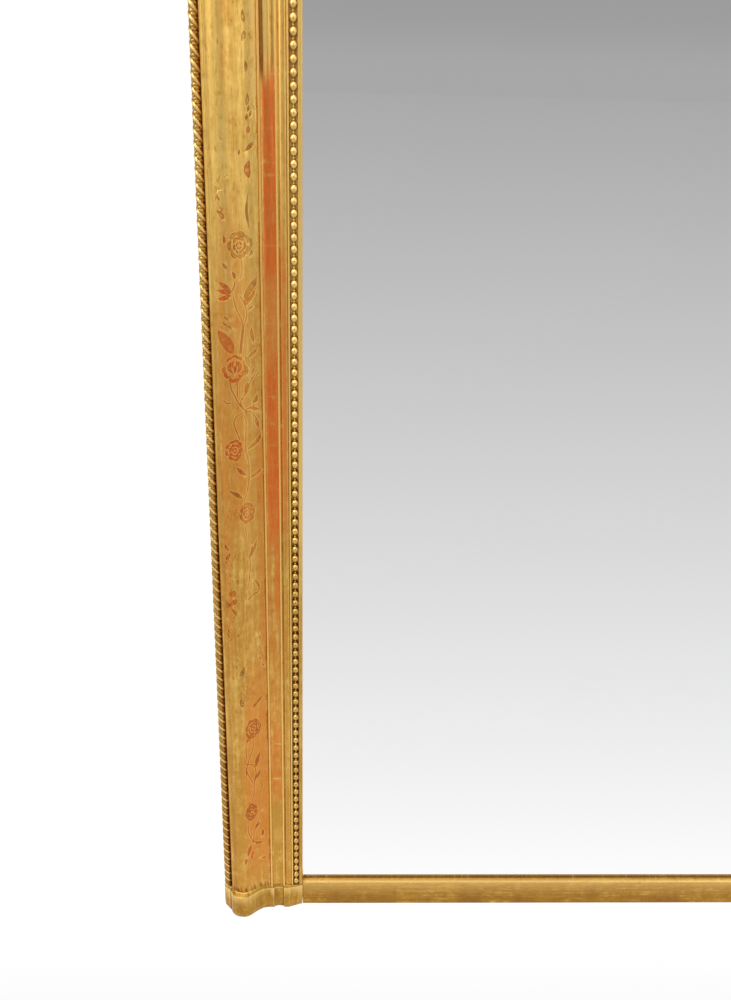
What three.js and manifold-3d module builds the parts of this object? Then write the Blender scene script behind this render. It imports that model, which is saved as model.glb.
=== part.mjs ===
// A tall trumeau mirror in a water-gilt frame, as a bench assembly.
//
// A pine carcass, half-lapped at its joints, carries the gilt mouldings on its front: a wide ogee with a rope
// twist along its outer edge, and an inner moulding with a hollow, fillets, a bead run and the sight edge.
// The mouldings rise from a plinth at each side, turn two round shoulders and meet across the top, and a slim
// plain rail closes the bottom. The silvered plate lies in a rebate behind the sight edge, pressed forward by
// glue blocks, and shiplapped boards close the back. The frame hangs by two keyhole plates let into its back.
//
// Millimetres. +X is to the viewer's right, +Z is up and the mirror faces -Y. The origin is the middle of the
// box's underside. A section is drawn in two numbers: u, inwards from the frame's outer contour, and v,
// forwards from the wall.
import * as THREE from "three";
import { mergeVertices } from "three/addons/utils/BufferGeometryUtils.js";
import Module from "manifold-3d";

const wasm = await Module();
wasm.setup();

// ------------------------------------------------------------------------------------------------
// Driving dimensions
// ------------------------------------------------------------------------------------------------

// The whole frame
const frameWidth = 1220; // over the rope twist, side to side
const frameHeight = 1830; // underside of the plinths to the top of the rope twist
const shoulderRadius = 210; // outer contour at the two upper corners
const seam = 0.3; // glue line or working gap between neighbours

// Pine carcass
const carcassInset = 4; // its edge stands in from the outer contour
const carcassWidth = 92;
const carcassThickness = 26;
const lapLength = 60; // half-lap at each end of a shoulder

// Back boards and the rebate that they lie in
const boardCount = 4;
const boardThickness = 8;
const boardRebateWidth = 12;
const shiplapWidth = 8;

// Silvered plate
const glassThickness = 4.3;
const glassEdgeCover = 12; // how far the sight edge laps over the plate

// Gilt mouldings
const ropeDiameter = 10.6;
const ogeeWidth = 55; // from the rope twist to the toe of the ogee
const innerMouldingWidth = 44; // from the toe of the ogee to the sight edge
const railProud = 12; // front of the plain bottom rail above the carcass
const ogeeRise = 21; // crown of the ogee above the bottom rail's front
const ogeeToeRise = 7;
const beadDiameter = 7.8;
const beadSeatRise = 0.4; // floor of the bead channel above the rail's front
const sightEdgeWidth = 4;

// Plinths and bottom rail
const plinthFaceHeight = 37;
const plinthBevel = 5; // height of the sloping top, over the upright face
const plinthProud = 6; // plinth crown above the ogee's crown
const railHeight = 43;
const railBevel = 4;

// Glue blocks
const blockLength = 70;
const blockGrip = 11.5; // how far a block laps over the back of the plate
const blockDepth = 13.5; // its leg on the carcass
const blocksPerStile = 3;
const blockFromEnd = 250; // from either end of a stile to its nearest block
const blockOffset = 220; // either side of the middle, on the top and bottom rails

// Slotted screws
const screw = { head: 7, headDepth: 1.8, shank: 3.6, length: 20, slot: 1, slotDepth: 0.8 };
const plateScrew = { head: 6.4, headDepth: 1.6, shank: 3.2, length: 14, slot: 0.9, slotDepth: 0.7 };
const screwClearance = 0.25;

// Keyhole hanging plates
const hangerDrop = 170; // centre of the plate below the foot of the shoulder
const hanger = { width: 28, height: 64, thickness: 2, entry: 11, slotWidth: 5, slotRise: 15, screwPitch: 50 };
const hangerPocket = { width: 18, height: 34, depth: 12 };

// Smoothness
const shoulderSteps = 12; // chords in a shoulder's quarter turn, an even number
const curveSteps = 6; // chords in each curve of a section
const roundSteps = 10; // chords round the rope twist and the bead run

// ------------------------------------------------------------------------------------------------
// Levels worked out from them
// ------------------------------------------------------------------------------------------------

const halfWidth = frameWidth / 2;
const springing = frameHeight - shoulderRadius; // foot of the shoulders
const straightTop = halfWidth - shoulderRadius; // half the length of the straight top

// u, inwards from the outer contour
const carcassInner = carcassInset + carcassWidth;
const ogeeToe = ropeDiameter + ogeeWidth;
const sightEdge = ogeeToe + seam + innerMouldingWidth;
const glassEdge = sightEdge - glassEdgeCover;
const lipStart = Math.min(carcassInner, glassEdge - 2 * seam) + seam;
const blockReach = Math.max(glassEdge - carcassInner, 0) + blockGrip;
const boardEdge = carcassInner - boardRebateWidth + seam;
const sightHalfWidth = halfWidth - sightEdge;

// v, forwards from the wall
const boardRebateDepth = boardThickness + seam;
const mouldingBack = carcassThickness + seam;
const lipBack = mouldingBack + glassThickness;
const glassFront = lipBack - seam;
const glassBack = glassFront - glassThickness;
const railFront = mouldingBack + railProud;
const ropeSeat = railFront - seam;
const lapFace = carcassThickness / 2;
const depth = railFront + ogeeRise + plinthProud;

// z, up from the underside
const plinthHeight = plinthFaceHeight + plinthBevel;
const glassSill = railHeight - 10;
const bottomRailTop = glassSill - seam;
const boardFoot = bottomRailTop - boardRebateWidth + seam;

// ------------------------------------------------------------------------------------------------
// Finishes
// ------------------------------------------------------------------------------------------------

const finish = (color, roughness, metalness) =>
  new THREE.MeshStandardMaterial({ color, roughness, metalness });
const gilt = finish(0xd3a552, 0.32, 0.9);
const giltOrnament = finish(0xc99a45, 0.38, 0.9);
const rubbedGilt = finish(0xc7803c, 0.4, 0.7); // gold rubbed thin over red bole
const pine = finish(0xa9794a, 0.8, 0);
const oldPine = finish(0x8a6239, 0.85, 0);
const silvering = finish(0xdfe3e4, 0.03, 1);
const brass = finish(0xb08d49, 0.4, 0.9);
const iron = finish(0x57524c, 0.5, 0.8);

// ------------------------------------------------------------------------------------------------
// Geometry helpers
// ------------------------------------------------------------------------------------------------

const point = (u, v) => new THREE.Vector2(u, v);

// Twice the signed area of a closed outline.
const turning = (outline) => THREE.ShapeUtils.area(outline);

// A closed solid lofted through rings of equal count, with flat caps cut from the first ring's outline.
function loft(rings, outline) {
  if (turning(outline) < 0) {
    outline = [...outline].reverse();
    rings = rings.map((ring) => [...ring].reverse());
  }
  const count = outline.length;
  const positions = rings.flatMap((ring) => ring.flatMap((p) => [p.x, p.y, p.z]));
  const index = [];
  for (let r = 0; r + 1 < rings.length; r++)
    for (let i = 0; i < count; i++) {
      const a = r * count + i;
      const b = r * count + ((i + 1) % count);
      index.push(a, b, b + count, a, b + count, a + count);
    }
  const last = (rings.length - 1) * count;
  for (const [a, b, c] of THREE.ShapeUtils.triangulateShape(outline, [])) {
    index.push(c, b, a);
    index.push(last + a, last + b, last + c);
  }
  const geometry = new THREE.BufferGeometry();
  geometry.setAttribute("position", new THREE.Float32BufferAttribute(positions, 3));
  geometry.setIndex(index);
  return outwards(geometry);
}

// Turns a closed geometry's faces to point out of the solid.
function outwards(geometry) {
  const at = geometry.getAttribute("position");
  const index = geometry.index.array;
  const [a, b, c] = [new THREE.Vector3(), new THREE.Vector3(), new THREE.Vector3()];
  let volume = 0;
  for (let i = 0; i < index.length; i += 3) {
    a.fromBufferAttribute(at, index[i]);
    b.fromBufferAttribute(at, index[i + 1]);
    c.fromBufferAttribute(at, index[i + 2]);
    volume += a.dot(b.cross(c));
  }
  if (volume < 0)
    for (let i = 0; i < index.length; i += 3)
      [index[i + 1], index[i + 2]] = [index[i + 2], index[i + 1]];
  geometry.computeVertexNormals();
  return geometry;
}

// A station is a place on the frame's outer contour, with the direction that u runs there.
const onStile = (side, z) => ({ x: side * halfWidth, z, inX: -side, inZ: 0 });
const onTop = (x) => ({ x, z: frameHeight, inX: 0, inZ: -1 });
function onShoulder(side, turn) {
  const [c, s] = [Math.cos(turn), Math.sin(turn)];
  return {
    x: side * (straightTop + shoulderRadius * c),
    z: springing + shoulderRadius * s,
    inX: -side * c,
    inZ: -s,
  };
}
const shoulder = (side, first = 0, last = 1) =>
  Array.from({ length: shoulderSteps + 1 }, (_, i) =>
    onShoulder(side, (first + ((last - first) * i) / shoulderSteps) * (Math.PI / 2)),
  );

// Carries a section of u and v along stations of the contour.
const run = (section, stations) =>
  loft(
    stations.map((s) =>
      section.map((p) => new THREE.Vector3(s.x + s.inX * p.x, -p.y, s.z + s.inZ * p.x)),
    ),
    section,
  );

// Carries a section of height z and v from x0 to x1, for the rails along the bottom.
const runAcross = (section, x0, x1) =>
  loft(
    [x0, x1].map((x) => section.map((p) => new THREE.Vector3(x, -p.y, p.x))),
    section,
  );

// A box between two corners given as x, v and z.
function block([x0, v0, z0], [x1, v1, z1]) {
  const g = new THREE.BoxGeometry(Math.abs(x1 - x0), Math.abs(v1 - v0), Math.abs(z1 - z0));
  return g.translate((x0 + x1) / 2, -(v0 + v1) / 2, (z0 + z1) / 2);
}

// A box on a stile, between two levels of u.
const blockOnStile = (side, [u0, v0, z0], [u1, v1, z1]) =>
  block([side * (halfWidth - u0), v0, z0], [side * (halfWidth - u1), v1, z1]);

// To a solid that can be cut and joined, and back.
function solid(geometry) {
  const bare = geometry.index ? geometry.toNonIndexed() : geometry.clone();
  bare.deleteAttribute("normal");
  if (bare.getAttribute("uv")) bare.deleteAttribute("uv");
  const merged = mergeVertices(bare, 1e-4);
  return new wasm.Manifold(
    new wasm.Mesh({
      numProp: 3,
      vertProperties: merged.getAttribute("position").array,
      triVerts: new Uint32Array(merged.index.array),
    }),
  );
}

function geometryOf(body) {
  const made = body.getMesh();
  const geometry = new THREE.BufferGeometry();
  geometry.setAttribute("position", new THREE.BufferAttribute(made.vertProperties, made.numProp));
  geometry.setIndex(new THREE.BufferAttribute(made.triVerts, 1));
  geometry.computeVertexNormals();
  return geometry;
}

const cut = (geometry, cutters) =>
  geometryOf(cutters.reduce((body, c) => body.subtract(solid(c)), solid(geometry)));
const join = (...geometries) =>
  geometryOf(geometries.map(solid).reduce((body, other) => body.add(other)));

// ------------------------------------------------------------------------------------------------
// Sections of the mouldings
// ------------------------------------------------------------------------------------------------

// Outline of a shape, without the repeat of its first point.
function outlineOf(shape, steps = curveSteps) {
  const points = shape.getPoints(steps);
  if (points[0].distanceTo(points.at(-1)) < 1e-6) points.pop();
  return turning(points) < 0 ? points.reverse() : points;
}

// A rod with a flat seat, as for the rope twist and the bead run.
function seatedRod(centre, seat, diameter) {
  const rise = seat + diameter / 2;
  const points = [];
  for (let i = 0; i <= roundSteps; i++) {
    const turn = Math.PI * (1.25 - (1.5 * i) / roundSteps);
    points.push(point(centre + (diameter / 2) * Math.cos(turn), rise + (diameter / 2) * Math.sin(turn)));
  }
  points[0].y = points.at(-1).y = seat;
  return turning(points) < 0 ? points.reverse() : points;
}

const ropeSection = () => seatedRod(ropeDiameter / 2, ropeSeat + seam, ropeDiameter - seam);

// The wide ogee: a seat for the rope twist, a steep outer round, a quirk, and the long double curve.
const ogeeCrown = 18; // from the rope twist to the highest line of the ogee

function ogeeSection() {
  const at = (u, rise) => [ropeDiameter + u, railFront + rise];
  const outerRound = 4.6;
  const quirk = 0.7;
  const crown = ogeeCrown;
  const shape = new THREE.Shape();
  shape.moveTo(carcassInset / 2, mouldingBack);
  shape.lineTo(carcassInset / 2, ropeSeat);
  shape.lineTo(...at(seam, ropeSeat - railFront));
  shape.lineTo(...at(seam, ogeeRise * 0.38));
  shape.bezierCurveTo(
    ...at(seam + 0.6, ogeeRise * 0.7),
    ...at(outerRound * 0.4, ogeeRise * 0.78),
    ...at(outerRound, ogeeRise * 0.81),
  );
  shape.lineTo(...at(outerRound + quirk, ogeeRise * 0.81 - quirk));
  shape.bezierCurveTo(
    ...at(outerRound + 3.4, ogeeRise * 0.97),
    ...at(crown - 6, ogeeRise),
    ...at(crown, ogeeRise),
  );
  shape.bezierCurveTo(
    ...at(crown + 12.5, ogeeRise),
    ...at(crown + 17.5, ogeeToeRise + 0.4),
    ...at(ogeeWidth - 3.6, ogeeToeRise),
  );
  shape.lineTo(...at(ogeeWidth, ogeeToeRise));
  shape.lineTo(...at(ogeeWidth, mouldingBack - railFront));
  return outlineOf(shape);
}

// Widths and rises of the inner moulding's members, from the ogee's toe to the bead channel.
const inner = {
  fillet: 2.4,
  filletRise: 8.3,
  hollow: 15,
  hollowRise: 4,
  hollowArris: 1.6,
  ridge: 1.9,
  ridgeRise: 7.8,
  quirk: 1.6,
  quirkRise: 5.2,
  ovoloRise: 6.9,
  lip: 1.9,
  lipRise: 6.6,
  sightRise: 5.8,
};
const beadChannelEnd = sightEdge - sightEdgeWidth;
const beadCentre = beadChannelEnd - 0.5 - beadDiameter / 2;
const beadChannelStart = beadCentre - beadDiameter / 2 - 0.6;

function innerSection() {
  const start = ogeeToe + seam;
  const at = (u, rise) => [start + u, railFront + rise];
  const hollowEnd = inner.fillet + inner.hollow;
  const ridgeEnd = hollowEnd + inner.ridge;
  const ovoloStart = ridgeEnd + inner.quirk;
  const channel = beadChannelStart - start;
  const lipStartsAt = channel - inner.lip;
  const ovoloEnd = lipStartsAt - inner.quirk / 2;
  const channelEnd = beadChannelEnd - start;
  const shape = new THREE.Shape();
  shape.moveTo(start, mouldingBack);
  shape.lineTo(...at(0, inner.filletRise));
  shape.lineTo(...at(inner.fillet, inner.filletRise));
  shape.lineTo(...at(inner.fillet, inner.filletRise - inner.hollowArris));
  shape.bezierCurveTo(
    ...at(inner.fillet + inner.hollow * 0.16, inner.hollowRise + 0.2),
    ...at(inner.fillet + inner.hollow * 0.4, inner.hollowRise),
    ...at(inner.fillet + inner.hollow * 0.62, inner.hollowRise),
  );
  shape.lineTo(...at(hollowEnd, inner.hollowRise + 0.5));
  shape.lineTo(...at(hollowEnd, inner.ridgeRise));
  shape.lineTo(...at(ridgeEnd, inner.ridgeRise));
  shape.lineTo(...at(ridgeEnd, inner.quirkRise));
  shape.lineTo(...at(ovoloStart, inner.quirkRise));
  shape.quadraticCurveTo(
    ...at(ovoloStart + 0.4, inner.ovoloRise),
    ...at((ovoloStart + ovoloEnd) / 2, inner.ovoloRise),
  );
  shape.quadraticCurveTo(...at(ovoloEnd, inner.ovoloRise - 0.2), ...at(ovoloEnd, inner.quirkRise));
  shape.lineTo(...at(lipStartsAt, inner.quirkRise));
  shape.lineTo(...at(lipStartsAt, inner.lipRise));
  shape.lineTo(...at(channel, inner.lipRise));
  shape.lineTo(...at(channel, beadSeatRise));
  shape.lineTo(...at(channelEnd, beadSeatRise));
  shape.lineTo(...at(channelEnd, inner.sightRise));
  shape.lineTo(sightEdge, railFront + inner.sightRise - 0.6);
  shape.lineTo(sightEdge, lipBack);
  shape.lineTo(lipStart, lipBack);
  shape.lineTo(lipStart, mouldingBack);
  return outlineOf(shape, 5);
}

const beadSection = () => seatedRod(beadCentre, railFront + beadSeatRise + seam, beadDiameter - seam);

// The plinth's front, as rises over the bottom rail: a strip under the rope twist, then the ogee's swell, the
// hollow and a flat block under the bead run. `proud` is 1 on the upright face and 0 where it meets the
// moulding.
const plinthRises = { edge: 6, strip: 8, swellFoot: 8.6 };

function plinthSection(proud) {
  const rises = (at, extra) => railFront + at + extra * proud;
  const belly = (share) => rises(ogeeToeRise + (ogeeRise - ogeeToeRise) * share, plinthProud);
  const ease = 2;
  const swellStart = ropeDiameter - ease * proud;
  const crown = ropeDiameter + ogeeCrown;
  const hollowStart = ogeeToe + inner.fillet + ease * proud;
  const hollowEnd = ogeeToe + inner.fillet + inner.hollow;
  const blockEnd = sightEdge + ease / 4;
  const shape = new THREE.Shape();
  shape.moveTo(0, mouldingBack);
  shape.lineTo(0, rises(plinthRises.edge, ease));
  shape.lineTo(ease, rises(plinthRises.strip, ease));
  shape.lineTo(swellStart, rises(plinthRises.strip, ease));
  shape.lineTo(swellStart, rises(plinthRises.swellFoot, ease));
  shape.bezierCurveTo(
    swellStart + ease / 2, belly(0.75),
    crown - 11, belly(1),
    crown, belly(1),
  );
  shape.bezierCurveTo(
    crown + 12.5, belly(1),
    crown + 17.5, rises(ogeeToeRise, ease),
    ogeeToe - ease, rises(ogeeToeRise, ease),
  );
  shape.lineTo(hollowStart, rises(inner.filletRise, ease / 2));
  shape.bezierCurveTo(
    hollowStart + ease, rises(inner.hollowRise, ease),
    hollowStart + 2.5 * ease, rises(inner.hollowRise, ease),
    hollowEnd - 2 * ease, rises(inner.hollowRise, ease),
  );
  shape.lineTo(hollowEnd, rises(inner.ridgeRise - 1, ease / 2));
  shape.lineTo(hollowEnd + ease, rises(inner.ridgeRise, ease / 2));
  shape.lineTo(blockEnd, rises(inner.ridgeRise, ease / 2));
  shape.lineTo(blockEnd, mouldingBack);
  return outlineOf(shape);
}

// ------------------------------------------------------------------------------------------------
// Pieces. Each mesh is added to `frame`, whose own origin is on the wall plane.
// ------------------------------------------------------------------------------------------------

const frame = new THREE.Group();
frame.position.y = depth / 2;

function piece(name, geometry, material, parent = frame) {
  const mesh = new THREE.Mesh(geometry, material);
  mesh.name = name;
  parent.add(mesh);
  return mesh;
}

const sides = [
  { side: -1, name: "left" },
  { side: 1, name: "right" },
];

// One moulding all the way round: two stiles, two shoulders and the top, butted with a seam between them.
function mouldingRun(name, section, foot, material) {
  for (const { side, name: hand } of sides) {
    piece(`${name}_${hand}`, run(section, [onStile(side, foot), onStile(side, springing - seam)]), material);
    piece(`${name}_shoulder_${hand}`, run(section, shoulder(side)), material);
  }
  const end = straightTop - seam;
  piece(`${name}_top`, run(section, [onTop(-end), onTop(end)]), material);
}

// Slotted screw along +Y, with its head's face at the local origin. `ease` widens it to its clearance hole.
function screwBody(size, ease = 0) {
  const [head, shank] = [size.head / 2 + ease, size.shank / 2 + ease];
  const tip = size.length + ease;
  const profile = [
    point(0, -ease),
    point(head, -ease),
    point(head, 0.3),
    point(shank, size.headDepth + ease),
    point(shank, tip - 3),
    point(0, tip),
  ];
  const body = new THREE.LatheGeometry(profile, 8);
  return outwards(mergeVertices(stripped(body), 1e-4));
}

function stripped(geometry) {
  geometry.deleteAttribute("normal");
  geometry.deleteAttribute("uv");
  return geometry;
}

// The lathe turns about +Y and the wall lies at +Y, so a screw driven forwards from the back points to -Y.
const driven = (geometry) => geometry.rotateX(Math.PI);
const screwHole = (size, x, v, z) => driven(screwBody(size, screwClearance)).translate(x, -v, z);
const slotCutter = (size) =>
  new THREE.BoxGeometry(size.head * 2, size.slotDepth * 2, size.slot);

function slottedScrew(name, size, x, v, z) {
  const mesh = piece(name, driven(cut(screwBody(size), [slotCutter(size)])), iron);
  mesh.position.set(x, -v, z);
}

// Places of the back boards' screws, along the top and the bottom.
const boardSpan = 2 * (halfWidth - boardEdge);
const boardPitch = boardSpan / boardCount;
const boardLeft = (i) => -boardSpan / 2 + i * boardPitch;
const boardScrewTop = frameHeight - carcassInner + boardRebateWidth / 2;
const boardScrewBottom = bottomRailTop - boardRebateWidth / 2;
const boardScrewHalf = Math.min(straightTop - lapLength - 10, boardSpan / 2 - 40);
const boardScrewX = (i) =>
  THREE.MathUtils.clamp(boardLeft(i) + boardPitch / 2, -boardScrewHalf, boardScrewHalf);
const boardIndexes = Array.from({ length: boardCount }, (_, i) => i);
const screwSink = 0.5; // screw heads lie this far under the back

// Places of the hanging plates.
const hangerHeight = springing - lapLength - hangerDrop;
const hangerInset = carcassInset + (carcassWidth - boardRebateWidth) / 2;
const hangerX = (side) => side * (halfWidth - hangerInset);
const hangerScrewZ = (end) => hangerHeight + (end * hanger.screwPitch) / 2; // end is -1 below, 1 above
const overcut = 1; // how far a cutter runs past the face that it starts from

// Pine carcass. A section with the back boards' rebate, and a plain one for the laps.
const carcassSection = (front = carcassThickness) => [
  point(carcassInset, 0),
  point(carcassInner - boardRebateWidth, 0),
  point(carcassInner - boardRebateWidth, boardRebateDepth),
  point(carcassInner, boardRebateDepth),
  point(carcassInner, front),
  point(carcassInset, front),
];
const lapSection = () => [
  point(carcassInset, lapFace + seam),
  point(carcassInner, lapFace + seam),
  point(carcassInner, carcassThickness),
  point(carcassInset, carcassThickness),
];

// A sinking in a stile's back, centred on its hanging plate and `into` deep.
const sinking = (side, width, height, into) =>
  block(
    [hangerX(side) - width / 2, -overcut, hangerHeight - height / 2],
    [hangerX(side) + width / 2, into, hangerHeight + height / 2],
  );

function carcass() {
  for (const { side, name: hand } of sides) {
    const stile = run(carcassSection(), [onStile(side, 0), onStile(side, springing - seam)]);
    const bedDepth = hanger.thickness + seam;
    piece(
      `carcass_stile_${hand}`,
      cut(stile, [
        blockOnStile(side, [0, lapFace, springing - lapLength - seam], [frameWidth, depth, frameHeight]),
        blockOnStile(side, [0, lapFace, -overcut], [carcassInner + overcut, depth, bottomRailTop + seam]),
        sinking(side, hanger.width + 2 * seam, hanger.height + 2 * seam, bedDepth),
        sinking(side, hangerPocket.width, hangerPocket.height, bedDepth + hangerPocket.depth),
        ...[-1, 1].map((end) => screwHole(plateScrew, hangerX(side), 0, hangerScrewZ(end))),
      ]),
      pine,
    );
    const arc = shoulder(side);
    const lapped = [
      onStile(side, springing - lapLength),
      ...arc,
      onTop(side * (straightTop - lapLength)),
    ];
    piece(
      `carcass_shoulder_${hand}`,
      join(run(lapSection(), lapped), run(carcassSection(lapFace + 2 * seam), arc)),
      pine,
    );
  }
  const end = straightTop - seam;
  piece(
    "carcass_top_rail",
    cut(run(carcassSection(), [onTop(-end), onTop(end)]), [
      ...[-1, 1].map((side) =>
        block(
          [side * (straightTop - lapLength - seam), lapFace, springing],
          [side * frameWidth, depth, frameHeight + overcut],
        ),
      ),
      ...boardIndexes.map((i) => screwHole(screw, boardScrewX(i), screwSink, boardScrewTop)),
    ]),
    pine,
  );
  const between = halfWidth - carcassInner - seam;
  const tongue = halfWidth - carcassInset;
  const bottomSection = [
    point(0, 0),
    point(boardFoot - seam, 0),
    point(boardFoot - seam, boardRebateDepth),
    point(bottomRailTop, boardRebateDepth),
    point(bottomRailTop, carcassThickness),
    point(0, carcassThickness),
  ];
  const tongueSection = [
    point(0, lapFace + seam),
    point(bottomRailTop, lapFace + seam),
    point(bottomRailTop, carcassThickness),
    point(0, carcassThickness),
  ];
  // A low strip that runs on into the stiles' rebates and closes their feet.
  const rebateFoot = halfWidth - boardEdge;
  const footSection = [
    point(0, 0),
    point(boardFoot - seam, 0),
    point(boardFoot - seam, boardThickness),
    point(0, boardThickness),
  ];
  piece(
    "carcass_bottom_rail",
    cut(
      join(
        runAcross(bottomSection, -between, between),
        runAcross(tongueSection, -tongue, tongue),
        runAcross(footSection, -rebateFoot, rebateFoot),
      ),
      boardIndexes.map((i) => screwHole(screw, boardScrewX(i), screwSink, boardScrewBottom)),
    ),
    pine,
  );
}

// Gilt mouldings round the sides and top.
function mouldings() {
  const foot = plinthHeight + seam;
  mouldingRun("ogee_moulding", ogeeSection(), foot, gilt);
  mouldingRun("inner_moulding", innerSection(), foot, rubbedGilt);
  mouldingRun("rope_twist", ropeSection(), foot, giltOrnament);
  mouldingRun("bead_run", beadSection(), foot, giltOrnament);
}

// Plinth blocks: an upright face, then a top that slopes back to the moulding's own profile.
function plinths() {
  for (const { side, name: hand } of sides) {
    const [face, top] = [plinthSection(1), plinthSection(0)];
    const ring = (section, z) =>
      section.map((p) => new THREE.Vector3(side * (halfWidth - p.x), -p.y, z));
    const body = loft([ring(face, 0), ring(face, plinthFaceHeight), ring(top, plinthHeight)], face);
    const glassRebate = blockOnStile(
      side,
      [lipStart, 0, bottomRailTop],
      [sightEdge + 10, lipBack, plinthHeight + 10],
    );
    piece(`plinth_${hand}`, cut(body, [glassRebate]), gilt);
  }
}

// Plain bottom rail between the plinths, with a bevel above and a rebate behind for the plate.
function bottomRail() {
  const section = [
    point(0, mouldingBack),
    point(bottomRailTop, mouldingBack),
    point(bottomRailTop, lipBack),
    point(railHeight, lipBack),
    point(railHeight, railFront - railBevel),
    point(railHeight - railBevel, railFront),
    point(0, railFront),
  ];
  const end = sightHalfWidth - 0.5 - seam;
  piece("bottom_rail_gilt", runAcross(section, -end, end), gilt);
}

// A face in the x-z plane with two round upper corners, cut `inset` inside the outer contour.
function archedFace(inset, foot) {
  const [half, top, radius] = [halfWidth - inset, frameHeight - inset, shoulderRadius - inset];
  const shape = new THREE.Shape();
  shape.moveTo(-half, foot);
  shape.lineTo(half, foot);
  shape.lineTo(half, top - radius);
  shape.absarc(half - radius, top - radius, radius, 0, Math.PI / 2);
  shape.lineTo(-half + radius, top);
  shape.absarc(-half + radius, top - radius, radius, Math.PI / 2, Math.PI);
  return shape;
}

// Extrudes a face in the x-z plane from v = back to v = front. An arc gets two chords for each curve segment,
// and its chords here match those of the shoulders, so that the clearance between them is even.
const slab = (shape, back, front) =>
  new THREE.ExtrudeGeometry(shape, {
    depth: front - back,
    bevelEnabled: false,
    curveSegments: shoulderSteps / 2,
  })
    .rotateX(Math.PI / 2)
    .translate(0, -back, 0);

function plate() {
  piece("mirror_plate", slab(archedFace(glassEdge, glassSill), glassBack, glassFront), silvering);
}

// Triangular glue blocks that press the plate forward, one leg on the carcass and one on the plate.
function glueBlocks() {
  const [back, front] = [glassBack - seam - blockDepth, glassBack - seam];
  const [root, toe] = [carcassInner + seam, carcassInner + seam + blockReach];
  const section = [point(root, back), point(toe, front), point(root, front)];
  const blockPitch = (springing - 2 * blockFromEnd) / (blocksPerStile - 1);
  const heights = Array.from({ length: blocksPerStile }, (_, i) => blockFromEnd + i * blockPitch);
  for (const { side, name: hand } of sides) {
    heights.forEach((z, i) => {
      const stations = [onStile(side, z - blockLength / 2), onStile(side, z + blockLength / 2)];
      piece(`glue_block_${hand}_${i + 1}`, run(section, stations), oldPine);
    });
    const x = side * blockOffset;
    piece(
      `glue_block_top_${hand}`,
      run(section, [onTop(x - blockLength / 2), onTop(x + blockLength / 2)]),
      oldPine,
    );
    const sill = bottomRailTop + seam;
    const bottomSection = [point(sill, back), point(sill, front), point(sill + blockReach, front)];
    piece(
      `glue_block_bottom_${hand}`,
      runAcross(bottomSection, x - blockLength / 2, x + blockLength / 2),
      oldPine,
    );
  }
}

// Shiplapped back boards, trimmed to the arched rebate.
function backBoards() {
  const outline = solid(slab(archedFace(boardEdge, boardFoot), 0, boardThickness));
  const mid = boardThickness / 2;
  const gap = seam / 2;
  for (const i of boardIndexes) {
    const [x0, x1] = [boardLeft(i), boardLeft(i) + boardPitch];
    const under = i + 1 < boardCount ? shiplapWidth / 2 : 0;
    const over = i > 0 ? shiplapWidth / 2 : 0;
    // Plan of one board: its lip beside the right neighbour is at the back, the other one at the front.
    const plan = [
      point(x0 + gap + over, 0),
      point(x1 - gap + under, 0),
      point(x1 - gap + under, mid - gap),
      point(x1 - gap - under, mid - gap),
      point(x1 - gap - under, boardThickness),
      point(x0 + gap - over, boardThickness),
      point(x0 + gap - over, mid + gap),
      point(x0 + gap + over, mid + gap),
    ].filter((p, k, all) => p.distanceTo(all[(k + 1) % all.length]) > 1e-6);
    const ring = (z) => plan.map((p) => new THREE.Vector3(p.x, -p.y, z));
    const board = solid(loft([ring(0), ring(frameHeight)], plan)).intersect(outline);
    const ends = { bottom: boardScrewBottom, top: boardScrewTop };
    const holes = Object.values(ends).map((z) => screwHole(screw, boardScrewX(i), screwSink, z));
    piece(`back_board_${i + 1}`, cut(geometryOf(board), holes), oldPine);
    for (const [end, z] of Object.entries(ends))
      slottedScrew(`board_screw_${end}_${i + 1}`, screw, boardScrewX(i), screwSink, z);
  }
}

// Keyhole plates, flush with the back over a pocket that takes the wall screw's head.
function hangers() {
  const corner = 4;
  const [w, h] = [hanger.width / 2, hanger.height / 2];
  const face = new THREE.Shape([
    point(-w + corner, -h),
    point(w - corner, -h),
    point(w, -h + corner),
    point(w, h - corner),
    point(w - corner, h),
    point(-w + corner, h),
    point(-w, h - corner),
    point(-w, -h + corner),
  ]);
  const through = 5 * hanger.thickness;
  const entryRadius = hanger.entry / 2;
  const entryZ = entryRadius + 2 - hangerPocket.height / 2;
  const overlap = 1;
  const slotZ = entryZ + entryRadius + hanger.slotRise / 2 - overlap;
  const keyhole = [
    new THREE.CylinderGeometry(entryRadius, entryRadius, through, 16).translate(0, 0, entryZ),
    new THREE.BoxGeometry(hanger.slotWidth, through, hanger.slotRise).translate(0, 0, slotZ),
  ];
  const screws = { lower: -1, upper: 1 };
  const screwZ = (end) => (end * hanger.screwPitch) / 2;
  const holes = Object.values(screws).map((end) => screwHole(plateScrew, 0, 0, screwZ(end)));
  for (const { side, name: hand } of sides) {
    const geometry = cut(slab(face, 0, hanger.thickness), [...keyhole, ...holes]);
    const mesh = piece(`keyhole_plate_${hand}`, geometry, brass);
    mesh.position.set(hangerX(side), 0, hangerHeight);
    for (const [place, end] of Object.entries(screws))
      slottedScrew(`plate_screw_${hand}_${place}`, plateScrew, hangerX(side), 0, hangerScrewZ(end));
  }
}

carcass();
mouldings();
plinths();
bottomRail();
plate();
glueBlocks();
backBoards();
hangers();

const mirror = new THREE.Group();
mirror.name = "trumeau_mirror";
mirror.add(frame);

export default mirror;
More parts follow.
